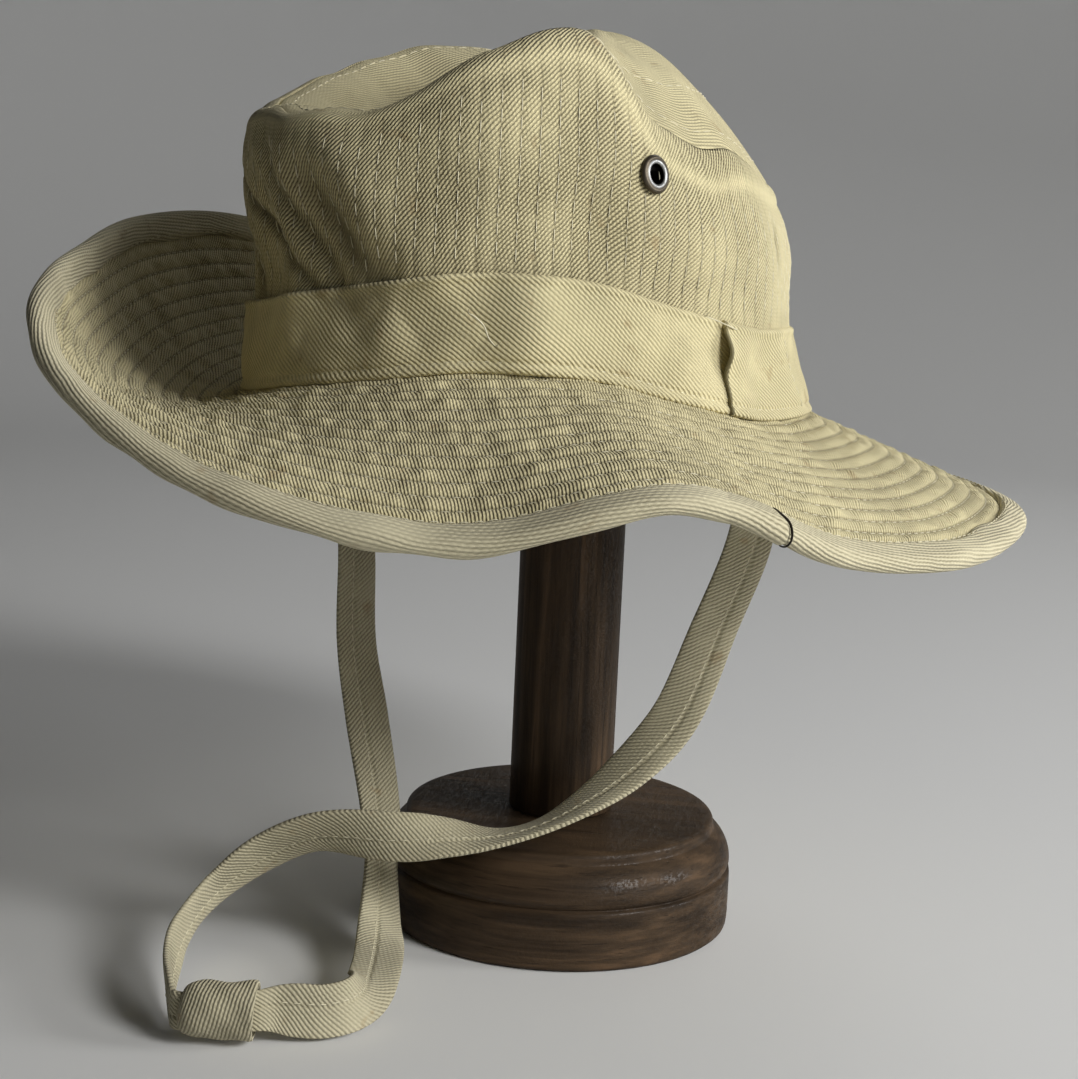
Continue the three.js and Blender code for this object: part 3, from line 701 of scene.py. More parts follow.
# Stand post
# A plain turned dowel of the same walnut, set upright in the base, with its grain along it and a
# round head that carries the crown.
POST_RADIUS = 0.017
POST_SIDES = 96
POST_FOOT = BASE_TOP + 0.0003
POST_CHAMFER = 0.0006
POST_HEAD = 0.018
POST_TOP = 0.2848
SHAFT_STEPS = 12
HEAD_TURNS = np.radians((70, 62, 54, 46, 38, 30, 22, 14, 6))

head = joined(POST_HEAD * np.sin(HEAD_TURNS), POST_TOP - POST_HEAD * (1 - np.cos(HEAD_TURNS)))
head[0, 0] = POST_RADIUS
shaft = joined(POST_RADIUS, np.linspace(POST_FOOT + POST_CHAMFER, head[0, 1], SHAFT_STEPS, endpoint=False))
post_profile = np.concatenate([[(POST_RADIUS - POST_CHAMFER, POST_FOOT)], shaft, head])
post = add_piece("stand_post_turned", turned_mesh("stand post", post_profile, POST_SIDES),
                 walnut_material("post walnut", (0, math.radians(90), 0), 1))
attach(post, "root")
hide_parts("stand_post")

# Brim
# Two layers of drill cut as one flat oval ring and quilted together by rows of stitches that run
# round it. It is sewn to the crown's foot and turned up at the wearer's right.
HAT_X, HAT_Y = -0.006, -0.019
HALF_WIDTH = 0.080
HALF_LENGTH = 0.096
RING_SIDES = 720
RING_START = 90
OVAL_STEPS = 1441
CROWN_WALL = 0.002
BRIM_WIDTH = 0.079
BRIM_WALL = 0.002
BRIM_INSET = 0.0016
BRIM_UPPER_STEPS = 116
BRIM_UNDER_STEPS = 58
BINDING_WIDTH = 0.0095
BRIM_ROWS = 12
BRIM_ROW_PITCH = 0.0055
BRIM_FIRST_ROW = 0.0045
BRIM_PUFF = 0.0009
BRIM_UNDER_PUFF = 0.6
BRIM_PUFF_START = 0.003
BRIM_PUFF_END = 0.0015
BRIM_STITCH = 0.0026
BRIM_STITCH_PITCH = 0.0036
BRIM_STITCH_LIFT = 0.00005
BRIM_STITCH_GRID = 1801
BRIM_RIB = 0.00092
BRIM_RIB_ANGLE = 140
DRILL_COLOUR = (0.66, 0.588, 0.35)
DRILL_GROOVE = (0.088, 0.066, 0.028)
RIPPLE_WAVES = 12
UP_STEP = 0.001

# One value for each 20 degrees round the hat, from the wearer's left over the back: heights of the
# crown's foot and top seam, how far its top leans out, the brim's slopes in degrees where it
# starts and ends, and how far the tip sinks
RING_STEP = 20
RING = {
    "seat": (0.174, 0.173, 0.172, 0.172, 0.172, 0.172, 0.172, 0.172, 0.173,
             0.173, 0.173, 0.174, 0.176, 0.180, 0.184, 0.188, 0.187, 0.180),
    "rim": (0.248, 0.241, 0.239, 0.243, 0.248, 0.257, 0.270, 0.281, 0.2815,
            0.273, 0.265, 0.257, 0.254, 0.253, 0.255, 0.270, 0.2775, 0.253),
    "lean": (-0.006, -0.008, -0.009, -0.008, -0.007, -0.006, -0.004, -0.002, 0,
             0.001, 0.002, 0.004, 0.004, 0.002, 0, -0.002, -0.004, -0.005),
    "root": (-20, -20, -22, -20, -18, -16, -10, 0, 10, 16, 5, -20, -27, -23, -20, -22, -15, -18),
    "edge": (-28, -24, -21, -24, -26, -24, -8, 28, 60, 72, 84, 98, 82, 32, -14, -34, -19, -32),
    "sag": (0, 0, 0, 0, 0, 0, 0.002, 0.008, 0.014, 0.018, 0.020, 0.020, 0.020, 0.020, 0.018, 0.012, 0.003, 0),
}


def ring_value(column, degrees):
    """A column of the ring table at any direction: a smooth closed curve through its values"""
    rows = np.array(RING[column], dtype=float)
    place = np.mod(degrees, 360) / RING_STEP
    row = np.floor(place).astype(int)
    part = place - row
    a, b, c, d = (rows[(row + step) % len(rows)] for step in (-1, 0, 1, 2))
    return b + 0.5 * part * (c - a + part * (2 * a - 5 * b + 4 * c - d + part * (3 * (b - c) + d - a)))


def oval_place(degrees, out):
    """A point of the hat's oval, moved out square to it"""
    angle = np.radians(degrees)
    normal = unit(np.stack([np.cos(angle) / HALF_WIDTH, np.sin(angle) / HALF_LENGTH], axis=-1))
    x = HAT_X + HALF_WIDTH * np.cos(angle) + normal[..., 0] * out
    y = HAT_Y + HALF_LENGTH * np.sin(angle) + normal[..., 1] * out
    return x, y


def oval_length(degrees):
    """The length along the oval from the ring's start to a direction"""
    grid = np.linspace(RING_START, RING_START + 360, OVAL_STEPS)
    angle = np.radians(grid)
    speed = np.hypot(HALF_WIDTH * np.sin(angle), HALF_LENGTH * np.cos(angle))
    steps = 0.5 * (speed[1:] + speed[:-1]) * np.diff(angle)
    return np.interp(degrees, grid, np.concatenate([[0], np.cumsum(steps)]))


def brim_place(degrees, along, lift):
    """A point of the brim: its section bends evenly from the first slope to the last, so it is an arc
    of the brim's width, and lift goes off the arc square to it"""
    root = np.radians(ring_value("root", degrees))
    turn = (np.radians(ring_value("edge", degrees)) - root) / BRIM_WIDTH
    half_bend = 0.5 * turn * along
    chord = along * np.sinc(half_bend / np.pi)
    slope = root + turn * along
    out = chord * np.cos(root + half_bend) - lift * np.sin(slope)
    height = ring_value("seat", degrees) + chord * np.sin(root + half_bend) + lift * np.cos(slope)
    x, y = oval_place(degrees, out)
    return joined(x, y, height)


def ripples(points, size, seed):
    """Soft unevenness of a surface: waves of about one size in random directions, added"""
    random = np.random.default_rng(seed)
    heading = unit(random.normal(size=(RIPPLE_WAVES, 3))) * 2 * np.pi
    heading = heading / (size * random.uniform(0.7, 1.4, (RIPPLE_WAVES, 1)))
    phase = random.uniform(0, 2 * np.pi, RIPPLE_WAVES)
    return sum(np.cos(points @ turn + shift) for turn, shift in zip(heading, phase)) / 3


def brim_puff(points, along):
    """How far the quilted cloth swells between two rows of stitches, unevenly along them"""
    rise = np.abs(np.sin(np.pi * (along - BRIM_FIRST_ROW) / BRIM_ROW_PITCH)) ** 0.7
    start = np.clip(along / BRIM_PUFF_START, 0, 1)
    end = np.clip((BRIM_WIDTH - BINDING_WIDTH - along) / BRIM_PUFF_END, 0, 1)
    uneven = 1 + 0.3 * ripples(points, size=0.012, seed=21) + 0.25 * ripples(points, size=0.005, seed=22)
    return BRIM_PUFF * rise * start * end * np.clip(uneven, 0.2, 2)


ring_degrees = RING_START + np.linspace(0, 360, RING_SIDES, endpoint=False)
ring_closed = RING_START + np.linspace(0, 360, RING_SIDES + 1)


def brim_mesh():
    """The brim's under side from the crown out and its upper side back, carried round the oval"""
    edge = BRIM_WIDTH - BRIM_INSET
    under = np.linspace(-CROWN_WALL, edge, BRIM_UNDER_STEPS)
    upper = np.linspace(edge, -CROWN_WALL, BRIM_UPPER_STEPS)
    along = np.concatenate([under, upper])[None, :]
    puff = brim_puff(brim_place(ring_degrees[:, None], along, 0), along)
    lift = np.where(np.arange(along.size) < under.size, -BRIM_WALL - BRIM_UNDER_PUFF * puff, puff)
    points = brim_place(ring_degrees[:, None], along, lift)
    over = np.concatenate([along[0], along[0, :1]])
    cloth = joined(*oval_place(ring_closed[:, None], over[None, :]))
    rows = joined(oval_length(ring_closed)[:, None], over[None, :])
    return surface_mesh("brim", points, {"cloth": cloth, "rows": rows}, loop_rows=True, loop_columns=True)


def spread_stitches(line, grid, stitch, pitch):
    """The directions in which stitches begin and end, at even steps of the length of a line whose
    points lie at a grid of directions"""
    length = run_along(line)
    starts = np.arange(0, length[-1] - pitch, pitch)
    return np.interp(starts, length, grid), np.interp(starts + stitch, length, grid)


def sew_round(along, lift, sign, steps):
    """One row of stitches round the brim, at a distance out and off it: where they begin, where they
    end, and which way is up, for which the sign is 1 above the brim and -1 below it"""
    grid = np.linspace(0, 360, steps)
    first, second = spread_stitches(brim_place(grid, along, lift), grid, BRIM_STITCH, BRIM_STITCH_PITCH)
    begin = brim_place(first, along, lift)
    up = sign * unit(brim_place(first, along, lift + UP_STEP) - begin)
    return begin, brim_place(second, along, lift), up


def brim_stitches(name, lift, sign, seed):
    """The rows of stitches round one side of the brim, at even steps out"""
    rows = [sew_round(BRIM_FIRST_ROW + row * BRIM_ROW_PITCH, lift, sign, BRIM_STITCH_GRID)
            for row in range(BRIM_ROWS)]
    return stitch_mesh(name, *map(np.concatenate, zip(*rows)), seed)


# The brim's rows carry darker painted shade along their furrows than the crown's
brim_cloth = drill_material("brim drill", BRIM_RIB, BRIM_RIB_ANGLE, DRILL_COLOUR, DRILL_GROOVE,
                            contrast=0.85, rows=("rows", "Y", BRIM_FIRST_ROW, BRIM_ROW_PITCH, 1.0),
                            seam=0.5)
brim = add_piece("brim_quilted", brim_mesh(), brim_cloth)
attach(brim, "root")
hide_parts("brim")
for title, lift, sign, seed in (("upper", BRIM_STITCH_LIFT, 1, 5),
                                ("under", -BRIM_WALL - BRIM_STITCH_LIFT, -1, 6)):
    quilting = add_piece(f"brim_stitches_{title}", brim_stitches(f"brim stitches {title}", lift, sign, seed),
                         sewing_thread)
    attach(quilting, "root")

# Brim binding
# A bias strip of drill folded over the brim's edge, so it makes a soft round roll. It is sewn on by
# one row of stitches beside its inner edge, and its end laps over its start at the front left.
BINDING_START = BRIM_WIDTH - BINDING_WIDTH
BINDING_TOP = 0.0021
BINDING_EDGE = 0.0003
BINDING_NOSE = 0.003
BINDING_STEPS = 19
BINDING_NOSE_STEPS = 15
BINDING_ROUND = 0.45
BINDING_INSIDE = 0.002
BINDING_CLEAR = 0.0002
BINDING_FREE = 0.003
BINDING_WANDER = 0.0006
BINDING_UNEVEN = 0.10
BINDING_AROUND = 1.55
BINDING_OVER = 0.04
BINDING_SEAM = 0.0013
BINDING_STITCH_GRID = 3601
BINDING_RIB = 0.00118
BINDING_RIB_ANGLE = 7
BINDING_COLOUR = (0.62, 0.565, 0.385)
BINDING_GROOVE = (0.20, 0.17, 0.10)
LAP_AT = 330.6
LAP_LONG = 9
LAP_STEPS = 40
LAP_RISE = 0.0008
LAP_SINK = 0.0003
LAP_ROUND = 0.04
LAP_BOW = 0.9
LAP_AROUND = 0.02
LAP_OVER = 0.06
# A thin dark cord along the lapped end is a painted shadow in the crevice under it: its radius, how far ahead
# of the end it lies, how far it sinks, the span of the section it follows, and its colour
LAP_SHADOW = 0.00034
LAP_SHADOW_AHEAD = 0.15
LAP_SHADOW_SINK = 0.0002
LAP_SHADOW_SPAN = (4, 34)
LAP_SHADOW_COLOUR = (0.026, 0.020, 0.012)


def binding_path(extra):
    """The fold's section as distances out and off the brim: up from its upper edge, flat, round the
    brim's rim in a half circle and back along the under side, moved out by an extra thickness"""
    share = np.linspace(0, 1, BINDING_STEPS)
    flat = BINDING_START + share * (BINDING_WIDTH - BINDING_NOSE)
    rise = np.sqrt(1 - (1 - np.clip(share / BINDING_ROUND, 0, 1)) ** 2)
    swell = BINDING_EDGE + (BINDING_TOP - BINDING_EDGE) * rise + extra
    turn = np.radians(np.linspace(90, -90, BINDING_NOSE_STEPS)[1:-1])
    middle = -BRIM_WALL / 2
    nose_along = flat[-1] + (BINDING_NOSE + extra) * np.cos(turn)
    nose_lift = middle + (swell[-1] - middle) * np.sin(turn)
    along = np.concatenate([flat - (share == 0) * extra, nose_along, flat[::-1]])
    return along, np.concatenate([swell, nose_lift, 2 * middle - swell[::-1]])


def binding_mesh():
    """The fold's outer skin and a flat inner skin within the brim, carried round the oval, with an
    uneven inner edge"""
    along, lift = binding_path(0)
    inside, low = BRIM_WIDTH - BINDING_INSIDE, BINDING_CLEAR - BRIM_WALL
    along = np.concatenate([along, (BINDING_START, inside, inside, BINDING_START)])
    lift = np.concatenate([lift, (low, low, -BINDING_CLEAR, -BINDING_CLEAR)])
    even = brim_place(ring_degrees[:, None], along[None], lift[None])
    edge = np.clip((BINDING_START + BINDING_FREE - along) / BINDING_FREE, 0, 1)
    along = along[None] + BINDING_WANDER * ripples(even, size=0.03, seed=31) * edge[None]
    lift = lift[None] * (1 + BINDING_UNEVEN * ripples(even, size=0.02, seed=32))
    points = brim_place(ring_degrees[:, None], along, lift)
    over = np.concatenate([run_along(even[0]), [BINDING_OVER]])
    cloth = joined(oval_length(ring_closed)[:, None] * BINDING_AROUND, over[None])
    return surface_mesh("brim binding", points, {"cloth": cloth}, loop_rows=True, loop_columns=True)


def lap_bow(count):
    """How many degrees the lapped end lags at each point of its section: none at the middle, and more
    and more toward both edges"""
    return LAP_BOW * (np.sin(np.pi * np.linspace(0, 1, count)) ** 0.7 - 1)


def lap_mesh():
    """The binding's lapped end: the same section, thicker toward its rounded end, laid on the fold"""
    inner_along, inner_lift = binding_path(-LAP_SINK)
    outer_along, outer_lift = binding_path(LAP_RISE)
    share = np.linspace(0, 1, LAP_STEPS)[:, None]
    outside = np.repeat((1, 0), len(inner_along))[None]
    rise = share * outside * np.sqrt(np.clip((1 - share) / LAP_ROUND, 0.05, 1))
    low_along, low_lift = (np.concatenate([line, line[::-1]]) for line in (inner_along, inner_lift))
    high_along = np.concatenate([outer_along, inner_along[::-1]])
    high_lift = np.concatenate([outer_lift, inner_lift[::-1]])
    bow = lap_bow(len(inner_along))
    degrees = LAP_AT + (share - 1) * LAP_LONG + np.concatenate([bow, bow[::-1]])[None] * share
    points = brim_place(degrees, low_along + rise * (high_along - low_along),
                        low_lift + rise * (high_lift - low_lift))
    over = np.concatenate([run_along(points[0]), [LAP_OVER]])
    cloth = joined(share * LAP_AROUND, over[None])
    return surface_mesh("binding lap", points, {"cloth": cloth}, loop_columns=True, caps=True)


def binding_stitches():
    """One row of stitches beside the binding's inner edge, on both sides of the brim"""
    along, lift = binding_path(0)
    row = BINDING_START + BINDING_SEAM
    off = np.interp(row, along[:BINDING_STEPS], lift[:BINDING_STEPS])
    sides = [sew_round(row, level, sign, BINDING_STITCH_GRID)
             for level, sign in ((off, 1), (-BRIM_WALL - off, -1))]
    return stitch_mesh("binding stitches", *map(np.concatenate, zip(*sides)), seed=9)


def cord_mesh(name, line, radius, sides=8):
    """A round cord, thinner at both ends, carried along a line of points that lies nearly in a plane"""
    ahead = unit(np.gradient(line, axis=0))
    plane_normal = np.linalg.svd(line - line.mean(axis=0))[2][2]
    side = unit(np.cross(ahead, plane_normal))
    turn = np.linspace(0, 2 * np.pi, sides, endpoint=False)[None, :, None]
    thin = np.sqrt(np.sin(np.pi * np.linspace(0.04, 0.96, len(line))))[:, None, None]
    points = line[:, None] + radius * thin * (side[:, None] * np.cos(turn)
                                              + np.cross(ahead, side)[:, None] * np.sin(turn))
    run = run_along(line)[:, None]
    cloth = joined(run, np.linspace(0, 2 * np.pi * radius, sides + 1)[None])
    thread = cloth * (1 / run[-1, 0], 0)
    return surface_mesh(name, points, {"cloth": cloth, "thread": thread}, loop_columns=True, caps=True)


def lap_shadow_line():
    """The line of the dark cord that paints the shadow at the lapped end over the fold, from its upper edge
    to below the nose
    """
    along, lift = binding_path(LAP_RISE)
    degrees = LAP_AT + LAP_SHADOW_AHEAD + lap_bow(len(along))
    sunk = lift - np.sign(lift + BRIM_WALL / 2) * LAP_SHADOW_SINK
    return brim_place(degrees, along, sunk)[slice(*LAP_SHADOW_SPAN)]


binding_cloth = drill_material("binding drill", BINDING_RIB, BINDING_RIB_ANGLE, BINDING_COLOUR,
                               BINDING_GROOVE)
binding = add_piece("brim_binding_roll", binding_mesh(), binding_cloth)
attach(binding, "root")
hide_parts("brim_binding")
binding_lap = add_piece("brim_binding_lap", lap_mesh(), binding_cloth)
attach(binding_lap, "root")
# The dark cord paints the shadow in the crevice under the lapped end. Its material is not the binding's own
# cloth colour.
lap_shadow_cloth = drill_material("lapped end", BINDING_RIB, BINDING_RIB_ANGLE, LAP_SHADOW_COLOUR,
                               LAP_SHADOW_COLOUR)
lap_shadow = add_piece("brim_binding_lap_shadow", cord_mesh("binding lap shadow", lap_shadow_line(), LAP_SHADOW),
                    lap_shadow_cloth)
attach(lap_shadow, "root")
binding_sewing = add_piece("brim_binding_stitches", binding_stitches(), sewing_thread)
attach(binding_sewing, "root")

# Crown side
# The wall of the crown, two layers of drill quilted together by upright rows of stitches, with
# soft folds where it has been pressed in. Its foot stands on the brim and its top is sewn to the tip.
WAIST = 0.0025
WAIST_REACH = 1.25
TIP_CHAMFER = 0.0034
CROWN_FOOT = 0.0007
CROWN_ROLL = 0.0030
CROWN_STEPS = 76
CROWN_ROLL_STEPS = 13
CROWN_INNER_STEPS = 30
CROWN_INNER_CLOTH = 2.1
CROWN_CLOTH_END = 2.2
# Each soft place of the rim is a direction, its reach in degrees and how much larger the roll is there
SOFT_RIM = (
    (216, 30, 0.0048),
    (346, 44, 0.0130),
)
# The direction in which the tip is full, its reach in degrees and the tip's slope at its edge there
FULL_AT = 10
FULL_REACH = 60
FULL_SLOPE = 40
CROWN_SHOULDER = 0.0016
CROWN_SHOULDER_FROM = 0.86
CROWN_LUMP = 0.0008
RIM_WAVE = 0.0006
RIM_WORN_AT = 1.03
RIM_WORN_REACH = 0.03
CROWN_ROW_PITCH = 0.0055
CROWN_ROW_FOOT = 0.029
CROWN_ROW_SHORT = 0.002
CROWN_ROW_STITCHES = 24
CROWN_ROW_SHIFT = 0.618
CROWN_ROW_GRID = 3601
CROWN_CHANNEL = 0.00024
CROWN_CHANNEL_END = 0.03
CROWN_STITCH = 0.0040
CROWN_STITCH_PITCH = 0.0050
CROWN_STITCH_LIFT = 0.0001
CROWN_RIB = 0.00102
CROWN_RIB_ANGLE = 52
# Four places along the wall between which its channels, ribs and rows fade out and come back, and the
# share of the channels that is lost there
CROWN_PLAIN = (0.412, 0.442, 0.47, 0.50)
CROWN_PLAIN_LOSS = 0.7
# A narrow fold counts as a crease, where shade is painted, and this depth as the deepest, where the painted
# shade is full
CREASE_REACH = 4.5
CREASE_FULL = 0.0018
# Each fold is a direction, a share of the height, its reach in degrees and in height, how far it
# stands out, and how many degrees it slants over the whole height
FOLDS = (
    (256, 0.80, 6, 0.35, 0.003, 0),
    (246, 0.55, 6, 0.30, -0.0025, 0),
    (268, 0.60, 6, 0.30, -0.002, 0),
    (283, 0.45, 7, 0.16, -0.002, 0),
    (302, 0.75, 12, 0.30, 0.0015, 0),
    (8, 0.60, 9, 0.25, 0.002, 0),
    (200, 0.55, 10, 0.30, -0.0025, 0),
    (120, 0.60, 12, 0.30, 0.002, 0),
    (279, 0.64, 9, 0.42, 0.0046, -38),
    (262, 0.52, 10, 0.38, -0.0034, -38),
    (242.5, 0.66, 2.6, 0.32, -0.0019, -68),
    (236, 0.62, 3.5, 0.25, 0.0008, -68),
    (252, 0.68, 3.0, 0.34, 0.0017, -42),
    (258, 0.66, 2.4, 0.26, -0.0013, -38),
    (263.5, 0.64, 2.6, 0.26, 0.0008, -38),
    (271, 0.58, 4.0, 0.24, -0.0016, -38),
    (234, 0.45, 3.0, 0.16, -0.0014, -30),
    (318, 0.62, 9, 0.30, -0.0012, -20),
    (345, 0.45, 7, 0.25, -0.0012, 0),
    (13, 0.80, 1.6, 0.10, -0.0012, 4),
)


def angle_from(at, degrees):
    """The turn from one direction to others, between -180 and 180 degrees"""
    return np.mod(degrees - at + 180, 360) - 180


def fold_rise(degrees, share, at, middle, wide, tall, stand, slant):
    """How far one fold stands out: a rounded bump or hollow that leans along its slant"""
    off = angle_from(at + slant * (share - middle), degrees)
    return stand * np.exp(-(off / wide) ** 2 - ((share - middle) / tall) ** 2)


def crease_depth(degrees, share):
    """How deep the cloth lies in its narrow creases, from 0 on the flat to 1 in the deepest, which sets how
    much shade is painted there
    """
    narrow = [fold for fold in FOLDS if fold[2] < CREASE_REACH and fold[4] < 0]
    return np.clip(-sum(fold_rise(degrees, share, *fold) for fold in narrow) / CREASE_FULL, 0, 1)


def crown_out(degrees, share):
    """How far the crown wall stands outside the oval: it leans with the square of the height, is
    drawn in at its waist, rounds off below its top, and each fold adds a rounded bump or hollow"""
    out = ring_value("lean", degrees) * share ** 2
    shoulder = np.clip((share - CROWN_SHOULDER_FROM) / (1 - CROWN_SHOULDER_FROM), 0, 1)
    out = out - CROWN_SHOULDER * shoulder ** 2
    out = out - WAIST * np.sin(np.pi * np.minimum(1, share * WAIST_REACH)) ** 2
    return out + sum(fold_rise(degrees, share, *fold) for fold in FOLDS)


def roll_size(degrees):
    """The radius in which the wall rolls over to the tip, larger where the rim is soft"""
    return CROWN_ROLL + sum(more * np.exp(-(angle_from(at, degrees) / wide) ** 2)
                            for at, wide, more in SOFT_RIM)


def fullness(degrees):
    """How full the tip is in a direction, from 0 to 1"""
    return np.exp(-(angle_from(FULL_AT, degrees) / FULL_REACH) ** 2)


def roll_end(degrees):
    """The angle through which the wall rolls over: a right angle, less where the tip is full"""
    return np.radians(90 - FULL_SLOPE * fullness(degrees))


def rim_height(degrees):
    """The height at which the wall starts to roll over to the tip, a little uneven round it"""
    x, y = oval_place(degrees, 0)
    rise = roll_size(degrees) * np.sin(roll_end(degrees))
    wave = RIM_WAVE * ripples(joined(x, y, 0 * x), size=0.018, seed=41)
    return ring_value("rim", degrees) + CROWN_ROLL - rise + wave


def crown_place(degrees, share, off):
    """A point of the crown wall at a share of its height, moved out by some distance. The cloth
    between foot and top is a little lumpy."""
    seat = ring_value("seat", degrees)
    height = seat + share * (rim_height(degrees) - seat)
    x, y = oval_place(degrees, 0)
    lumps = np.sin(np.pi * np.clip(share, 0, 1)) * ripples(joined(x, y, height), size=0.034, seed=43)
    x, y = oval_place(degrees, crown_out(degrees, share) + CROWN_LUMP * lumps + off)
    return joined(x, y, height)


def crown_mesh():
    """The wall's outer face from its foot to its top, quilted in upright channels and rolled over in an
    arc to the tip, and its inner face back, carried round"""
    share = np.linspace(0, 1, CROWN_STEPS)
    degrees = ring_degrees[:, None]
    flat = crown_place(degrees, share[None], 0)
    draw = np.abs(np.sin(np.pi * oval_length(degrees) / CROWN_ROW_PITCH)) ** 0.6
    draw = draw * np.clip(1 + 0.4 * ripples(flat, size=0.011, seed=42), 0.2, 2)
    plain = np.interp(oval_length(degrees), CROWN_PLAIN, (0, CROWN_PLAIN_LOSS, CROWN_PLAIN_LOSS, 0))
    channel = CROWN_CHANNEL * (draw - 1) * np.clip((1 - share) / CROWN_CHANNEL_END, 0, 1)[None] * (1 - plain)
    outer = crown_place(degrees, share[None], channel)
    outer[..., 2] += CROWN_FOOT * (1 - share)
    steps = np.linspace(0, 1, CROWN_ROLL_STEPS)[None, 1:]
    turn = roll_end(degrees) * steps
    roll = crown_place(degrees, 1.0 + 0 * turn, roll_size(degrees) * (np.cos(turn) - 1))
    roll[..., 2] += roll_size(degrees) * np.sin(turn)
    low = np.linspace(1, 0, CROWN_INNER_STEPS)
    inner = crown_place(degrees, low[None], -CROWN_WALL)
    inner[..., 2] += CROWN_FOOT * (1 - low) - TIP_CHAMFER * low
    points = np.concatenate([outer, roll, inner], axis=1)
    tall = (ring_value("rim", ring_closed) - ring_value("seat", ring_closed))[:, None]
    rolled = 1 + (roll_size(ring_closed) * roll_end(ring_closed))[:, None] * steps / tall
    ends = np.concatenate([CROWN_INNER_CLOTH - low, [CROWN_CLOTH_END]])
    over = np.concatenate([share + 0 * tall, rolled, ends + 0 * tall], axis=1)
    cloth = joined(oval_length(ring_closed)[:, None], over * tall)
    worn = np.exp(-((over - RIM_WORN_AT) / RIM_WORN_REACH) ** 2)
    # The map's X is painted shade in the narrow creases, and its Y the paler rubbed band round the rim
    folds = joined(crease_depth(ring_closed[:, None], over), worn)
    return surface_mesh("crown side", points, {"cloth": cloth, "folds": folds},
                        loop_rows=True, loop_columns=True)


def crown_stitches():
    """Upright rows of stitches at even steps round the wall, each row shifted along against the last"""
    rows = np.arange(int(oval_length(RING_START + 360) / CROWN_ROW_PITCH))
    grid = np.linspace(RING_START, RING_START + 360, CROWN_ROW_GRID)
    degrees = np.interp(rows * CROWN_ROW_PITCH, oval_length(grid), grid)
    tall = rim_height(degrees) - ring_value("seat", degrees)
    shift = np.mod(rows * CROWN_ROW_SHIFT, 1)
    low = CROWN_ROW_FOOT + (np.arange(CROWN_ROW_STITCHES) + shift[:, None]) * CROWN_STITCH_PITCH
    keep = low + CROWN_STITCH < (tall - CROWN_ROW_SHORT)[:, None]
    degrees = np.broadcast_to(degrees[:, None], low.shape)[keep]
    tall = np.broadcast_to(tall[:, None], low.shape)[keep]
    low = low[keep]
    lift = CROWN_STITCH_LIFT - CROWN_CHANNEL
    begin = crown_place(degrees, low / tall, lift)
    finish = crown_place(degrees, (low + CROWN_STITCH) / tall, lift)
    up = unit(crown_place(degrees, low / tall, UP_STEP) - crown_place(degrees, low / tall, 0))
    return stitch_mesh("crown stitches", begin, finish, up, seed=7)


crown_cloth = drill_material("crown drill", CROWN_RIB, CROWN_RIB_ANGLE, DRILL_COLOUR, DRILL_GROOVE,
                             relief=0.0004, contrast=1.15, rows=("cloth", "X", 0, CROWN_ROW_PITCH, 0.3),
                             plain=CROWN_PLAIN, folds="folds")
crown = add_piece("crown_side_quilted", crown_mesh(), crown_cloth)
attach(crown, "root")
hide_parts("crown_side")
crown_quilting = add_piece("crown_stitches", crown_stitches(), sewing_thread)
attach(crown_quilting, "root")

# Crown tip
# One oval of drill sewn to the top of the wall, resting on the post's head and sunk to the wearer's
# right in a long dent. Two rows of stitches run round it inside the seam.
TIP_PEAK = 0.2876
TIP_ROUND = 0.4
TIP_FULL = 1.2
TIP_WALL = 0.002
TIP_MIDDLE = 0.01
TIP_UPPER_STEPS = 76
TIP_UNDER_STEPS = 36
TIP_DEEP = 0.020
TIP_DIP_OUT = 1.4
TIP_WAVE_OUT = 1.2
TIP_WAVE = 0.0009
TIP_WAVE_SMALL = 0.0003
TIP_TUCK = 0.0014
TIP_TUCK_FROM = 0.996
TIP_TUCK_LONG = 0.012
TIP_CLOTH = 1.1
# How strongly shade is painted into the dent where the tip sinks deepest
TIP_DENT_SHADE = 0.5
TIP_STITCH_ROWS = (0.0080, 0.0240)
TIP_INWARD_STEP = 0.01
TIP_RIB_ANGLE = 82


def tip_edge(degrees):
    """The tip's edge, where the wall's roll meets it"""
    inward = roll_size(degrees) * (1 - np.cos(roll_end(degrees)))
    return joined(*oval_place(degrees, crown_out(degrees, 1) - inward))


def tip_place(degrees, share, lift):
    """A point of the tip: from its peak over the post it falls to the seam like a rounded cone, fuller
    at the wearer's left, and sinks between the two where the table says so. It is soft, so it lies in
    low uneven waves."""
    edge = tip_edge(degrees)
    inside = np.minimum(share, 1)
    curve = TIP_ROUND + TIP_FULL * fullness(degrees)
    fall = (np.hypot(inside, curve) - curve) / (np.hypot(1, curve) - curve)
    dip = ring_value("sag", degrees) * np.sin(np.pi * inside ** TIP_DIP_OUT) ** 2
    top = rim_height(degrees) + roll_size(degrees) * np.sin(roll_end(degrees))
    height = TIP_PEAK + (top - TIP_PEAK) * fall - dip
    x, y, height = np.broadcast_arrays(edge[..., 0] * share, edge[..., 1] * share, height)
    flat = joined(x, y, 0 * x)
    waves = TIP_WAVE * ripples(flat, size=0.040, seed=51)
    waves = waves + TIP_WAVE_SMALL * ripples(flat, size=0.016, seed=52) - TIP_WAVE
    free = np.sin(np.pi * inside ** TIP_WAVE_OUT) ** 2
    return joined(x, y, height + free * waves + lift)


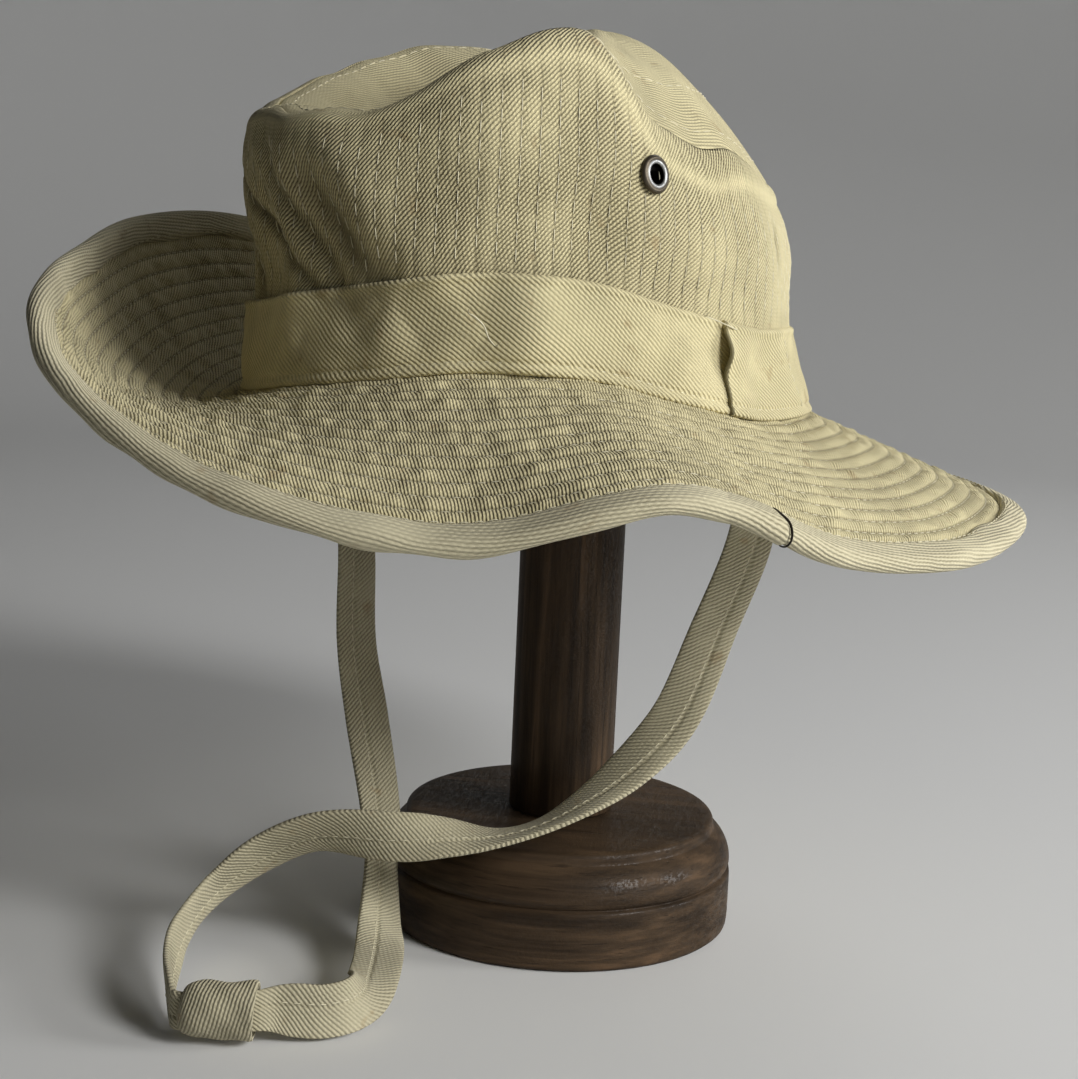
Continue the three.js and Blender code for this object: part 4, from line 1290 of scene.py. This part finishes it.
def tip_mesh():
    """The tip's upper face from its peak to the seam, tucked under the wall's roll there, and its
    under face back, carried round"""
    upper = np.concatenate([np.linspace(TIP_MIDDLE, 1, TIP_UPPER_STEPS), [1.006, 1.012]])
    tuck = -TIP_TUCK * np.clip((upper - TIP_TUCK_FROM) / TIP_TUCK_LONG, 0, 1)
    under = np.concatenate([[1.012], np.linspace(0.99, TIP_MIDDLE, TIP_UNDER_STEPS)])
    share = np.concatenate([upper, under])
    lift = np.concatenate([tuck, np.full(len(under), -TIP_WALL)])
    points = tip_place(ring_degrees[None], share[:, None], lift[:, None])
    cloth = tip_edge(ring_closed)[None] * share[:, None, None] * TIP_CLOTH
    sunk = np.sin(np.pi * np.minimum(share, 1) ** TIP_DIP_OUT)[:, None]
    dent = ring_value("sag", ring_closed)[None] / TIP_DEEP * sunk
    # Painted shade in the dent, darkest where the tip sinks most
    folds = joined(TIP_DENT_SHADE * dent, 0)
    return surface_mesh("crown tip", points, {"cloth": cloth, "folds": folds}, loop_columns=True, caps=True)


def tip_stitches():
    """Rows of stitches at set distances inside the seam, evenly spaced along their length"""
    grid = np.linspace(0, 360, BRIM_STITCH_GRID)
    reach = np.linalg.norm(tip_edge(grid), axis=-1)
    begin, finish, up = [], [], []
    for inside in TIP_STITCH_ROWS:
        share = 1 - (inside - CROWN_ROLL) / reach
        spots = spread_stitches(tip_place(grid, share, 0), grid, CROWN_STITCH, CROWN_STITCH_PITCH)
        shares = [np.interp(spot, grid, share) for spot in spots]
        begin.append(tip_place(spots[0], shares[0], 0))
        finish.append(tip_place(spots[1], shares[1], 0))
        inward = tip_place(spots[0], shares[0] - TIP_INWARD_STEP, 0) - begin[-1]
        up.append(unit(np.cross(finish[-1] - begin[-1], inward)))
    return stitch_mesh("tip stitches", *map(np.concatenate, (begin, finish, up)), seed=8)


tip_cloth = drill_material("tip drill", CROWN_RIB, TIP_RIB_ANGLE, DRILL_COLOUR, DRILL_GROOVE, contrast=0.75,
                           folds="folds")
tip = add_piece("crown_tip_dented", tip_mesh(), tip_cloth)
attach(tip, "root")
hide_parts("crown_tip")
tip_quilting = add_piece("tip_stitches", tip_stitches(), sewing_thread)
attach(tip_quilting, "root")

# Hat band
# A bias strip of drill laid round the crown's foot with both edges folded in and sewn along the
# lower one. Its end laps over its start at the wearer's left, where it gapes a little.
BAND_HEIGHT = 0.027
BAND_LIFT = -0.0002
BAND_GAP = 0.0006
BAND_WALL = 0.0016
BAND_LAP = 350
BAND_TUCK = 7
BAND_STEPS = 900
BAND_RIB = 0.00112
BAND_RIB_ANGLE = -38
BAND_HEM = 0.0033
BAND_EDGE = 0.03
BAND_EDGE_WALL = 0.3
# Each roll along the band is a share of its height, its reach and how far it stands out: the folded top,
# the folded foot and the furrow of the hem
BAND_ROLLS = (
    (0.955, 0.035, 0.0006),
    (0.05, 0.05, 0.0005),
    (BAND_HEM / BAND_HEIGHT, 0.022, -0.0006),
)
BAND_COVER = 0.0017
BAND_COVER_LONG = 1.6
BAND_GAPE = 0.0040
BAND_GAPE_LONG = 1.2
BAND_GAPE_AT = 0.66
BAND_GAPE_REACH = 0.19
BAND_BOW = 0.35
BAND_BOW_LONG = 2
BAND_RIPPLE = 0.0003
BAND_FLARE_AT = 30
BAND_FLARE_REACH = 34
BAND_FLARE = 0.0024
BAND_SNUG = 0.0016
BAND_SEWN_FROM = 0.004
BAND_SEWN_SHORT = 0.006
BAND_STITCH_SINK = 0.0006
# The upright row that tacks the lapped end: its directions at the top and at the foot, counted on along
# the band from its lapped end, and the shares of the band's height between which it runs
BAND_TACK = (373.5, 380)
BAND_TACK_LEVELS = (0.12, 0.84)
# Each dent is a direction, a share of the band's height, its reach in degrees and in height, and how
# far it stands out
BAND_DENTS = (
    (278, 0.70, 6, 0.22, -0.0016),
    (290, 0.66, 5, 0.20, -0.0018),
    (300, 0.40, 7, 0.20, -0.0016),
    (283, 0.40, 6, 0.35, 0.0022),
    (311, 0.50, 8, 0.70, 0.0046),
    (293, 0.55, 8, 0.45, -0.0012),
    (238, 0.45, 9, 0.35, 0.0014),
    (258, 0.50, 5, 0.30, -0.0010),
    (330, 0.40, 8, 0.35, -0.0008),
)
# Each row of a loose thread is a direction, counted in the same way, a share of the band's height and
# how far it stands off
LOOSE_THICK = 0.00042
LOOSE_STEPS = 8
LOOSE_THREADS = {
    "front": (
        (298.9, 0.65, 0.0002),
        (299.0, 0.61, 0.0006),
        (299.7, 0.59, 0.0004),
        (301.5, 0.49, 0.0002),
        (302.0, 0.43, 0.0007),
        (302.4, 0.37, 0.0009),
        (303.2, 0.31, 0.0008),
        (303.7, 0.29, 0.0010),
        (304.4, 0.33, 0.0012),
    ),
    "lap": (
        (705.8, 0.99, 0.0002),
        (708.4, 0.975, 0.0006),
        (350.6, 0.94, 0.0008),
        (352.2, 0.93, 0.0006),
        (353.6, 0.94, 0.0001),
    ),
}


def band_place(degrees, level, off):
    """A point of the band at a share of its height, outside the crown wall by some distance"""
    tall = rim_height(degrees) - ring_value("seat", degrees)
    return crown_place(degrees, (BAND_LIFT + BAND_HEIGHT * level) / tall, BAND_GAP + off)


def band_lift(degrees, level):
    """How far the band stands off the crown: each dent adds a rounded bump or hollow, the lapped end
    lies over the tucked one and gapes at two thirds of its height, and at the wearer's left the band
    is snug at its top and flares at its foot"""
    past = (degrees - BAND_LAP) / BAND_TUCK
    lift = BAND_COVER * eased(np.clip(BAND_COVER_LONG - past, 0, 1))
    gape = np.exp(-((level - BAND_GAPE_AT) / BAND_GAPE_REACH) ** 2)
    lift = lift + BAND_GAPE * gape * np.clip(1 - past / BAND_GAPE_LONG, 0, 1) ** 2
    for at, middle, wide, tall, stand in BAND_DENTS:
        off = angle_from(at, degrees)
        lift = lift + stand * np.exp(-(off / wide) ** 2 - ((level - middle) / tall) ** 2)
    left = np.exp(-(angle_from(BAND_FLARE_AT, degrees) / BAND_FLARE_REACH) ** 2)
    flare = left * (BAND_FLARE * (1 - level) ** 2 - BAND_SNUG * level)
    uneven = BAND_RIPPLE * ripples(band_place(degrees, level, 0), size=0.016, seed=61)
    return np.maximum(lift, -BAND_GAP) + flare + uneven


def band_mesh():
    """The band's outer face from its lower to its upper edge, rolled at both and drawn in along its
    hem, and its inner face back, carried round from the lapped end to the tucked one"""
    degrees = np.linspace(BAND_LAP, BAND_LAP + 360 + BAND_TUCK, BAND_STEPS)[:, None]
    level = np.concatenate([[0, 0.006, 0.018], np.linspace(0.035, 0.965, 40), [0.982, 0.994, 1]])
    edge = np.sqrt(1 - (1 - np.clip(np.minimum(level, 1 - level) / BAND_EDGE, 0, 1)) ** 2)
    rolls = sum(stand * np.exp(-((level - at) / reach) ** 2) for at, reach, stand in BAND_ROLLS)
    outer = BAND_EDGE_WALL * BAND_WALL + ((1 - BAND_EDGE_WALL) * BAND_WALL + rolls) * edge
    low = level[::-1]
    levels = np.concatenate([level, low])[None]
    off = np.concatenate([outer, 0 * low])[None] + band_lift(degrees, levels)
    bow = BAND_BOW * np.clip((BAND_LAP + BAND_BOW_LONG - degrees) / BAND_BOW_LONG, 0, 1)
    points = band_place(degrees + bow * np.cos(2 * np.pi * levels), levels, off)
    around = (degrees - BAND_LAP) / 360 * oval_length(RING_START + 360)
    cloth = joined(around, np.concatenate([level, 2 - low, [2]])[None] * BAND_HEIGHT)
    return surface_mesh("hat band", points, {"cloth": cloth}, loop_columns=True, caps=True)


def band_stitches():
    """The row of stitches along the band's hem, and an upright row that tacks its lapped end"""
    run = oval_length(RING_START + 360)
    starts = np.arange(BAND_SEWN_FROM, run - BAND_SEWN_SHORT, BRIM_STITCH_PITCH)
    hem = np.full(len(starts), BAND_HEM / BAND_HEIGHT)
    rises = np.arange(*BAND_TACK_LEVELS, BRIM_STITCH_PITCH / BAND_HEIGHT)
    top, foot = BAND_TACK

    def at(degrees, level, sink):
        off = BAND_WALL - sink + band_lift(degrees, level)
        spot = band_place(degrees, level, off)
        return spot, unit(band_place(degrees, level, off + UP_STEP) - spot)

    def tack(level):
        return at(foot - level * (foot - top), level, 0)

    begin, up = at(BAND_LAP + 360 * starts / run, hem, BAND_STITCH_SINK)
    finish, _ = at(BAND_LAP + 360 * (starts + BRIM_STITCH) / run, hem, BAND_STITCH_SINK)
    low, side = tack(rises)
    high, _ = tack(rises + BRIM_STITCH / BAND_HEIGHT)
    return stitch_mesh("band stitches", np.concatenate([begin, low]), np.concatenate([finish, high]),
                       np.concatenate([up, side]), seed=10)


def loose_thread(name, rows):
    """A thread's end that has come loose and lies on the band in a smooth curve through its rows"""
    degrees, level, stand = np.array(rows).T
    spots = band_place(degrees, level, BAND_WALL + band_lift(degrees, level) + stand)
    spans = np.sqrt(np.linalg.norm(np.diff(spots, axis=0), axis=1))
    return cord_mesh(name, through_rows(spots, spans, LOOSE_STEPS), LOOSE_THICK / 2)


band_cloth = drill_material("band drill", BAND_RIB, BAND_RIB_ANGLE, DRILL_COLOUR, DRILL_GROOVE,
                            contrast=0.75)
band = add_piece("hat_band_folded", band_mesh(), band_cloth)
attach(band, "root")
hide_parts("hat_band")
band_sewing = add_piece("hat_band_stitches", band_stitches(), sewing_thread)
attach(band_sewing, "root")
for title, rows in LOOSE_THREADS.items():
    loose = add_piece(f"hat_band_thread_{title}", loose_thread(f"loose thread {title}", rows), sewing_thread)
    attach(loose, "root")

# Eyelet
# A pressed brass vent ring, darkened outside and worn bright round its hole, clinched through the
# crown wall at the wearer's left.
EYELET_AT = 333.4
EYELET_HEIGHT = 0.243
EYELET_RADIUS = 0.0054
EYELET_HOLE = 0.0027
EYELET_SIDES = 64
EYELET_TURN = 2
EYELET_RISE = 0.05
EYELET_BRONZE = (0.080, 0.066, 0.046)
EYELET_DULL = (0.06, 0.05, 0.035)
EYELET_BRIGHT = (0.33, 0.335, 0.33)
EYELET_SHADE_COLOUR = (0.010, 0.008, 0.006)
# How far outside the hole the bright ring starts and is whole, and likewise the painted shade on the neck,
# which also dims its reflection
EYELET_WORN = (0.0014, 0.0009)
EYELET_SHADE_SPAN = (0.0003, 0.0001)
PUNCH_ROOM = 0.0004
PUNCH_DEEP = 0.006
PUNCH_AXIS = 0.0001
PUNCH_SIDES = 48
# Each row is a radius and a height off the wall: the neck, the face, the flange and the clinched back
EYELET_PROFILE = (
    (EYELET_HOLE, -0.0034),
    (EYELET_HOLE, 0.0009),
    (EYELET_HOLE + 0.0003, 0.0015),
    (EYELET_HOLE + 0.0010, 0.0018),
    (EYELET_HOLE + 0.0014, 0.0014),
    (EYELET_HOLE + 0.0018, 0.0015),
    (EYELET_RADIUS - 0.0006, 0.0014),
    (EYELET_RADIUS, 0.0009),
    (EYELET_RADIUS, 0.0004),
    (EYELET_RADIUS - 0.0012, 0.0003),
    (EYELET_HOLE + 0.0007, 0.0001),
    (EYELET_HOLE + 0.0007, -0.0028),
    (EYELET_HOLE + 0.0016, -0.0030),
    (EYELET_HOLE + 0.0014, -0.0036),
    (EYELET_HOLE, -0.0034),
)


def eyelet_frame():
    """The eyelet's place in the wall, with its axis square to the cloth"""
    tall = rim_height(EYELET_AT) - ring_value("seat", EYELET_AT)
    share = (EYELET_HEIGHT - ring_value("seat", EYELET_AT)) / tall

    def beside(turn, rise):
        return crown_place(EYELET_AT + turn, share + rise, 0)

    up = unit(beside(0, EYELET_RISE) - beside(0, -EYELET_RISE))
    around = unit(beside(EYELET_TURN, 0) - beside(-EYELET_TURN, 0))
    place = np.eye(4)
    place[:3, 0] = around
    place[:3, 2] = unit(np.cross(around, up))
    place[:3, 1] = np.cross(place[:3, 2], around)
    place[:3, 3] = beside(0, 0)
    return place


def eyelet_material():
    """Darkened brass that is worn to a bright ring round the hole, with painted shade on the neck inside the
    hole
    """
    material, tree, shader = new_material("eyelet brass")
    radius = parts_of(tree, map_of(tree, "ring"))["Y"]
    worn = range_of(tree, radius, *(EYELET_HOLE + out for out in EYELET_WORN))
    spot = noise_of(tree, add_node(tree, "ShaderNodeTexCoord").outputs["Object"], 900, 3).outputs["Fac"]
    colour = blend_of(tree, worn, EYELET_BRONZE, EYELET_BRIGHT)
    dull = math_of(tree, "MULTIPLY", range_of(tree, spot, 0.5, 0.75), 0.5)
    colour = blend_of(tree, dull, colour, EYELET_DULL)
    # Painted shade on the neck inside the hole: near black and fully metallic, so it shows almost no
    # reflection there
    neck_shade = range_of(tree, radius, *(EYELET_HOLE + out for out in EYELET_SHADE_SPAN))
    feed(tree, shader.inputs, {
        "Base Color": blend_of(tree, neck_shade, colour, EYELET_SHADE_COLOUR),
        "Metallic": math_of(tree, "MULTIPLY_ADD", neck_shade, 0.25, 0.75),
        "Roughness": math_of(tree, "MULTIPLY_ADD", spot, 0.3, 0.25),
    })
    return material


eyelet_place = eyelet_frame()
eyelet_ring = turned_mesh("eyelet", np.array(EYELET_PROFILE), EYELET_SIDES, eyelet_place, closed=True)
eyelet = add_piece("eyelet_ring", eyelet_ring, eyelet_material())
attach(eyelet, "root")
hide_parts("eyelet")


def cut_hole(piece, radius, depth, place):
    """The piece with a round hole cut through it along the eyelet's axis"""
    line = np.array(((PUNCH_AXIS, -depth), (radius, -depth), (radius, depth), (PUNCH_AXIS, depth)))
    punch = bpy.data.objects.new("punch", turned_mesh("punch", line, PUNCH_SIDES, place))
    bpy.context.scene.collection.objects.link(punch)
    cut = piece.modifiers.new("hole", "BOOLEAN")
    cut.operation = "DIFFERENCE"
    cut.solver = "EXACT"
    cut.object = punch
    solid = bpy.data.meshes.new_from_object(piece.evaluated_get(bpy.context.evaluated_depsgraph_get()))
    piece.modifiers.remove(cut)
    piece.data = solid
    bpy.data.objects.remove(punch)


cut_hole(crown, EYELET_HOLE + PUNCH_ROOM, PUNCH_DEEP, eyelet_place)

# Floor and light
# A pale plain sweep that rises all round, near behind the stand and far before it, one soft light
# from the upper right of the picture, two from the low right, and a weak one from behind.
FLOOR_REACH = 1.3
FLOOR_FRONT = 3.2
FLOOR_BEND = 0.9
FLOOR_WALL = 2.2
FLOOR_BACK = 125
FLOOR_NEAR = 45
FLOOR_SINK = 0.0002
FLOOR_SIDES = 128
FLOOR_COLOUR = (0.72, 0.72, 0.71)
HAT_MIDDLE = (0, 0, 0.18)
LIGHT_DISTANCE = 1.6
SKY = 0.01
# Each light is its name, its direction and its height in degrees, its size and its power
LIGHTS = (
    ("key light", 356, 27, 0.5, 18),
    ("side light", 28, 14, 0.5, 11),
    ("front light", 345, 10, 0.5, 3),
    ("back light", 100, 40, 0.8, 3),
)


def floor_mesh():
    """A flat floor whose edge bends up through a quarter circle into an upright wall. The edge lies
    near behind the stand and moves out to both sides, so that it is far away in front."""
    bend = np.radians(np.linspace(0, 90, 16))[:, None]
    share = np.linspace(0.005, 1, 8, endpoint=False)[:, None]
    turn = np.linspace(0, 2 * np.pi, FLOOR_SIDES, endpoint=False)[None, :]
    aside = np.abs(angle_from(FLOOR_BACK, np.degrees(turn)))
    reach = FLOOR_REACH + FLOOR_FRONT * eased(np.clip((aside - FLOOR_NEAR) / FLOOR_NEAR, 0, 1))
    radius = np.concatenate([share * reach, reach + FLOOR_BEND * np.sin(bend), reach + FLOOR_BEND])
    height = np.concatenate([0 * share, FLOOR_BEND * (1 - np.cos(bend)), [[FLOOR_WALL]]])
    points = joined(radius * np.cos(turn), radius * np.sin(turn), height - FLOOR_SINK)
    rows, columns = points.shape[:2]
    row, column = np.arange(rows - 1)[:, None], np.arange(columns)[None, :]
    after = (column + 1) % columns
    faces = joined(row * columns + column, (row + 1) * columns + column,
                   (row + 1) * columns + after, row * columns + after)
    mesh = bpy.data.meshes.new("floor")
    middle = [list(range(columns))]
    mesh.from_pydata(points.reshape(-1, 3).tolist(), [], faces.reshape(-1, 4).tolist() + middle,
                     shade_flat=False)
    return mesh


floor_material, floor_tree, floor_shader = new_material("floor")
feed(floor_tree, floor_shader.inputs, {"Base Color": (*FLOOR_COLOUR, 1), "Roughness": 0.9})
floor = add_piece("floor", floor_mesh(), floor_material)


def add_light(name, turn, rise, size, power):
    """A square soft light in a direction, turned to face the hat"""
    data = bpy.data.lights.new(name, "AREA")
    data.size = size
    data.energy = power
    lamp = bpy.data.objects.new(name, data)
    lamp.matrix_world = (
        Matrix.Translation(HAT_MIDDLE)
        @ Matrix.Rotation(math.radians(turn) + math.pi / 2, 4, "Z")
        @ Matrix.Rotation(math.pi / 2 - math.radians(rise), 4, "X")
        @ Matrix.Translation((0, 0, LIGHT_DISTANCE))
    )
    bpy.context.scene.collection.objects.link(lamp)


for light in LIGHTS:
    add_light(*light)
world = bpy.data.worlds.new("studio")
world.use_nodes = True
world.node_tree.nodes["Background"].inputs["Color"].default_value = (1, 1, 1, 1)
world.node_tree.nodes["Background"].inputs["Strength"].default_value = SKY
bpy.context.scene.world = world
bpy.context.scene.view_settings.view_transform = "Standard"
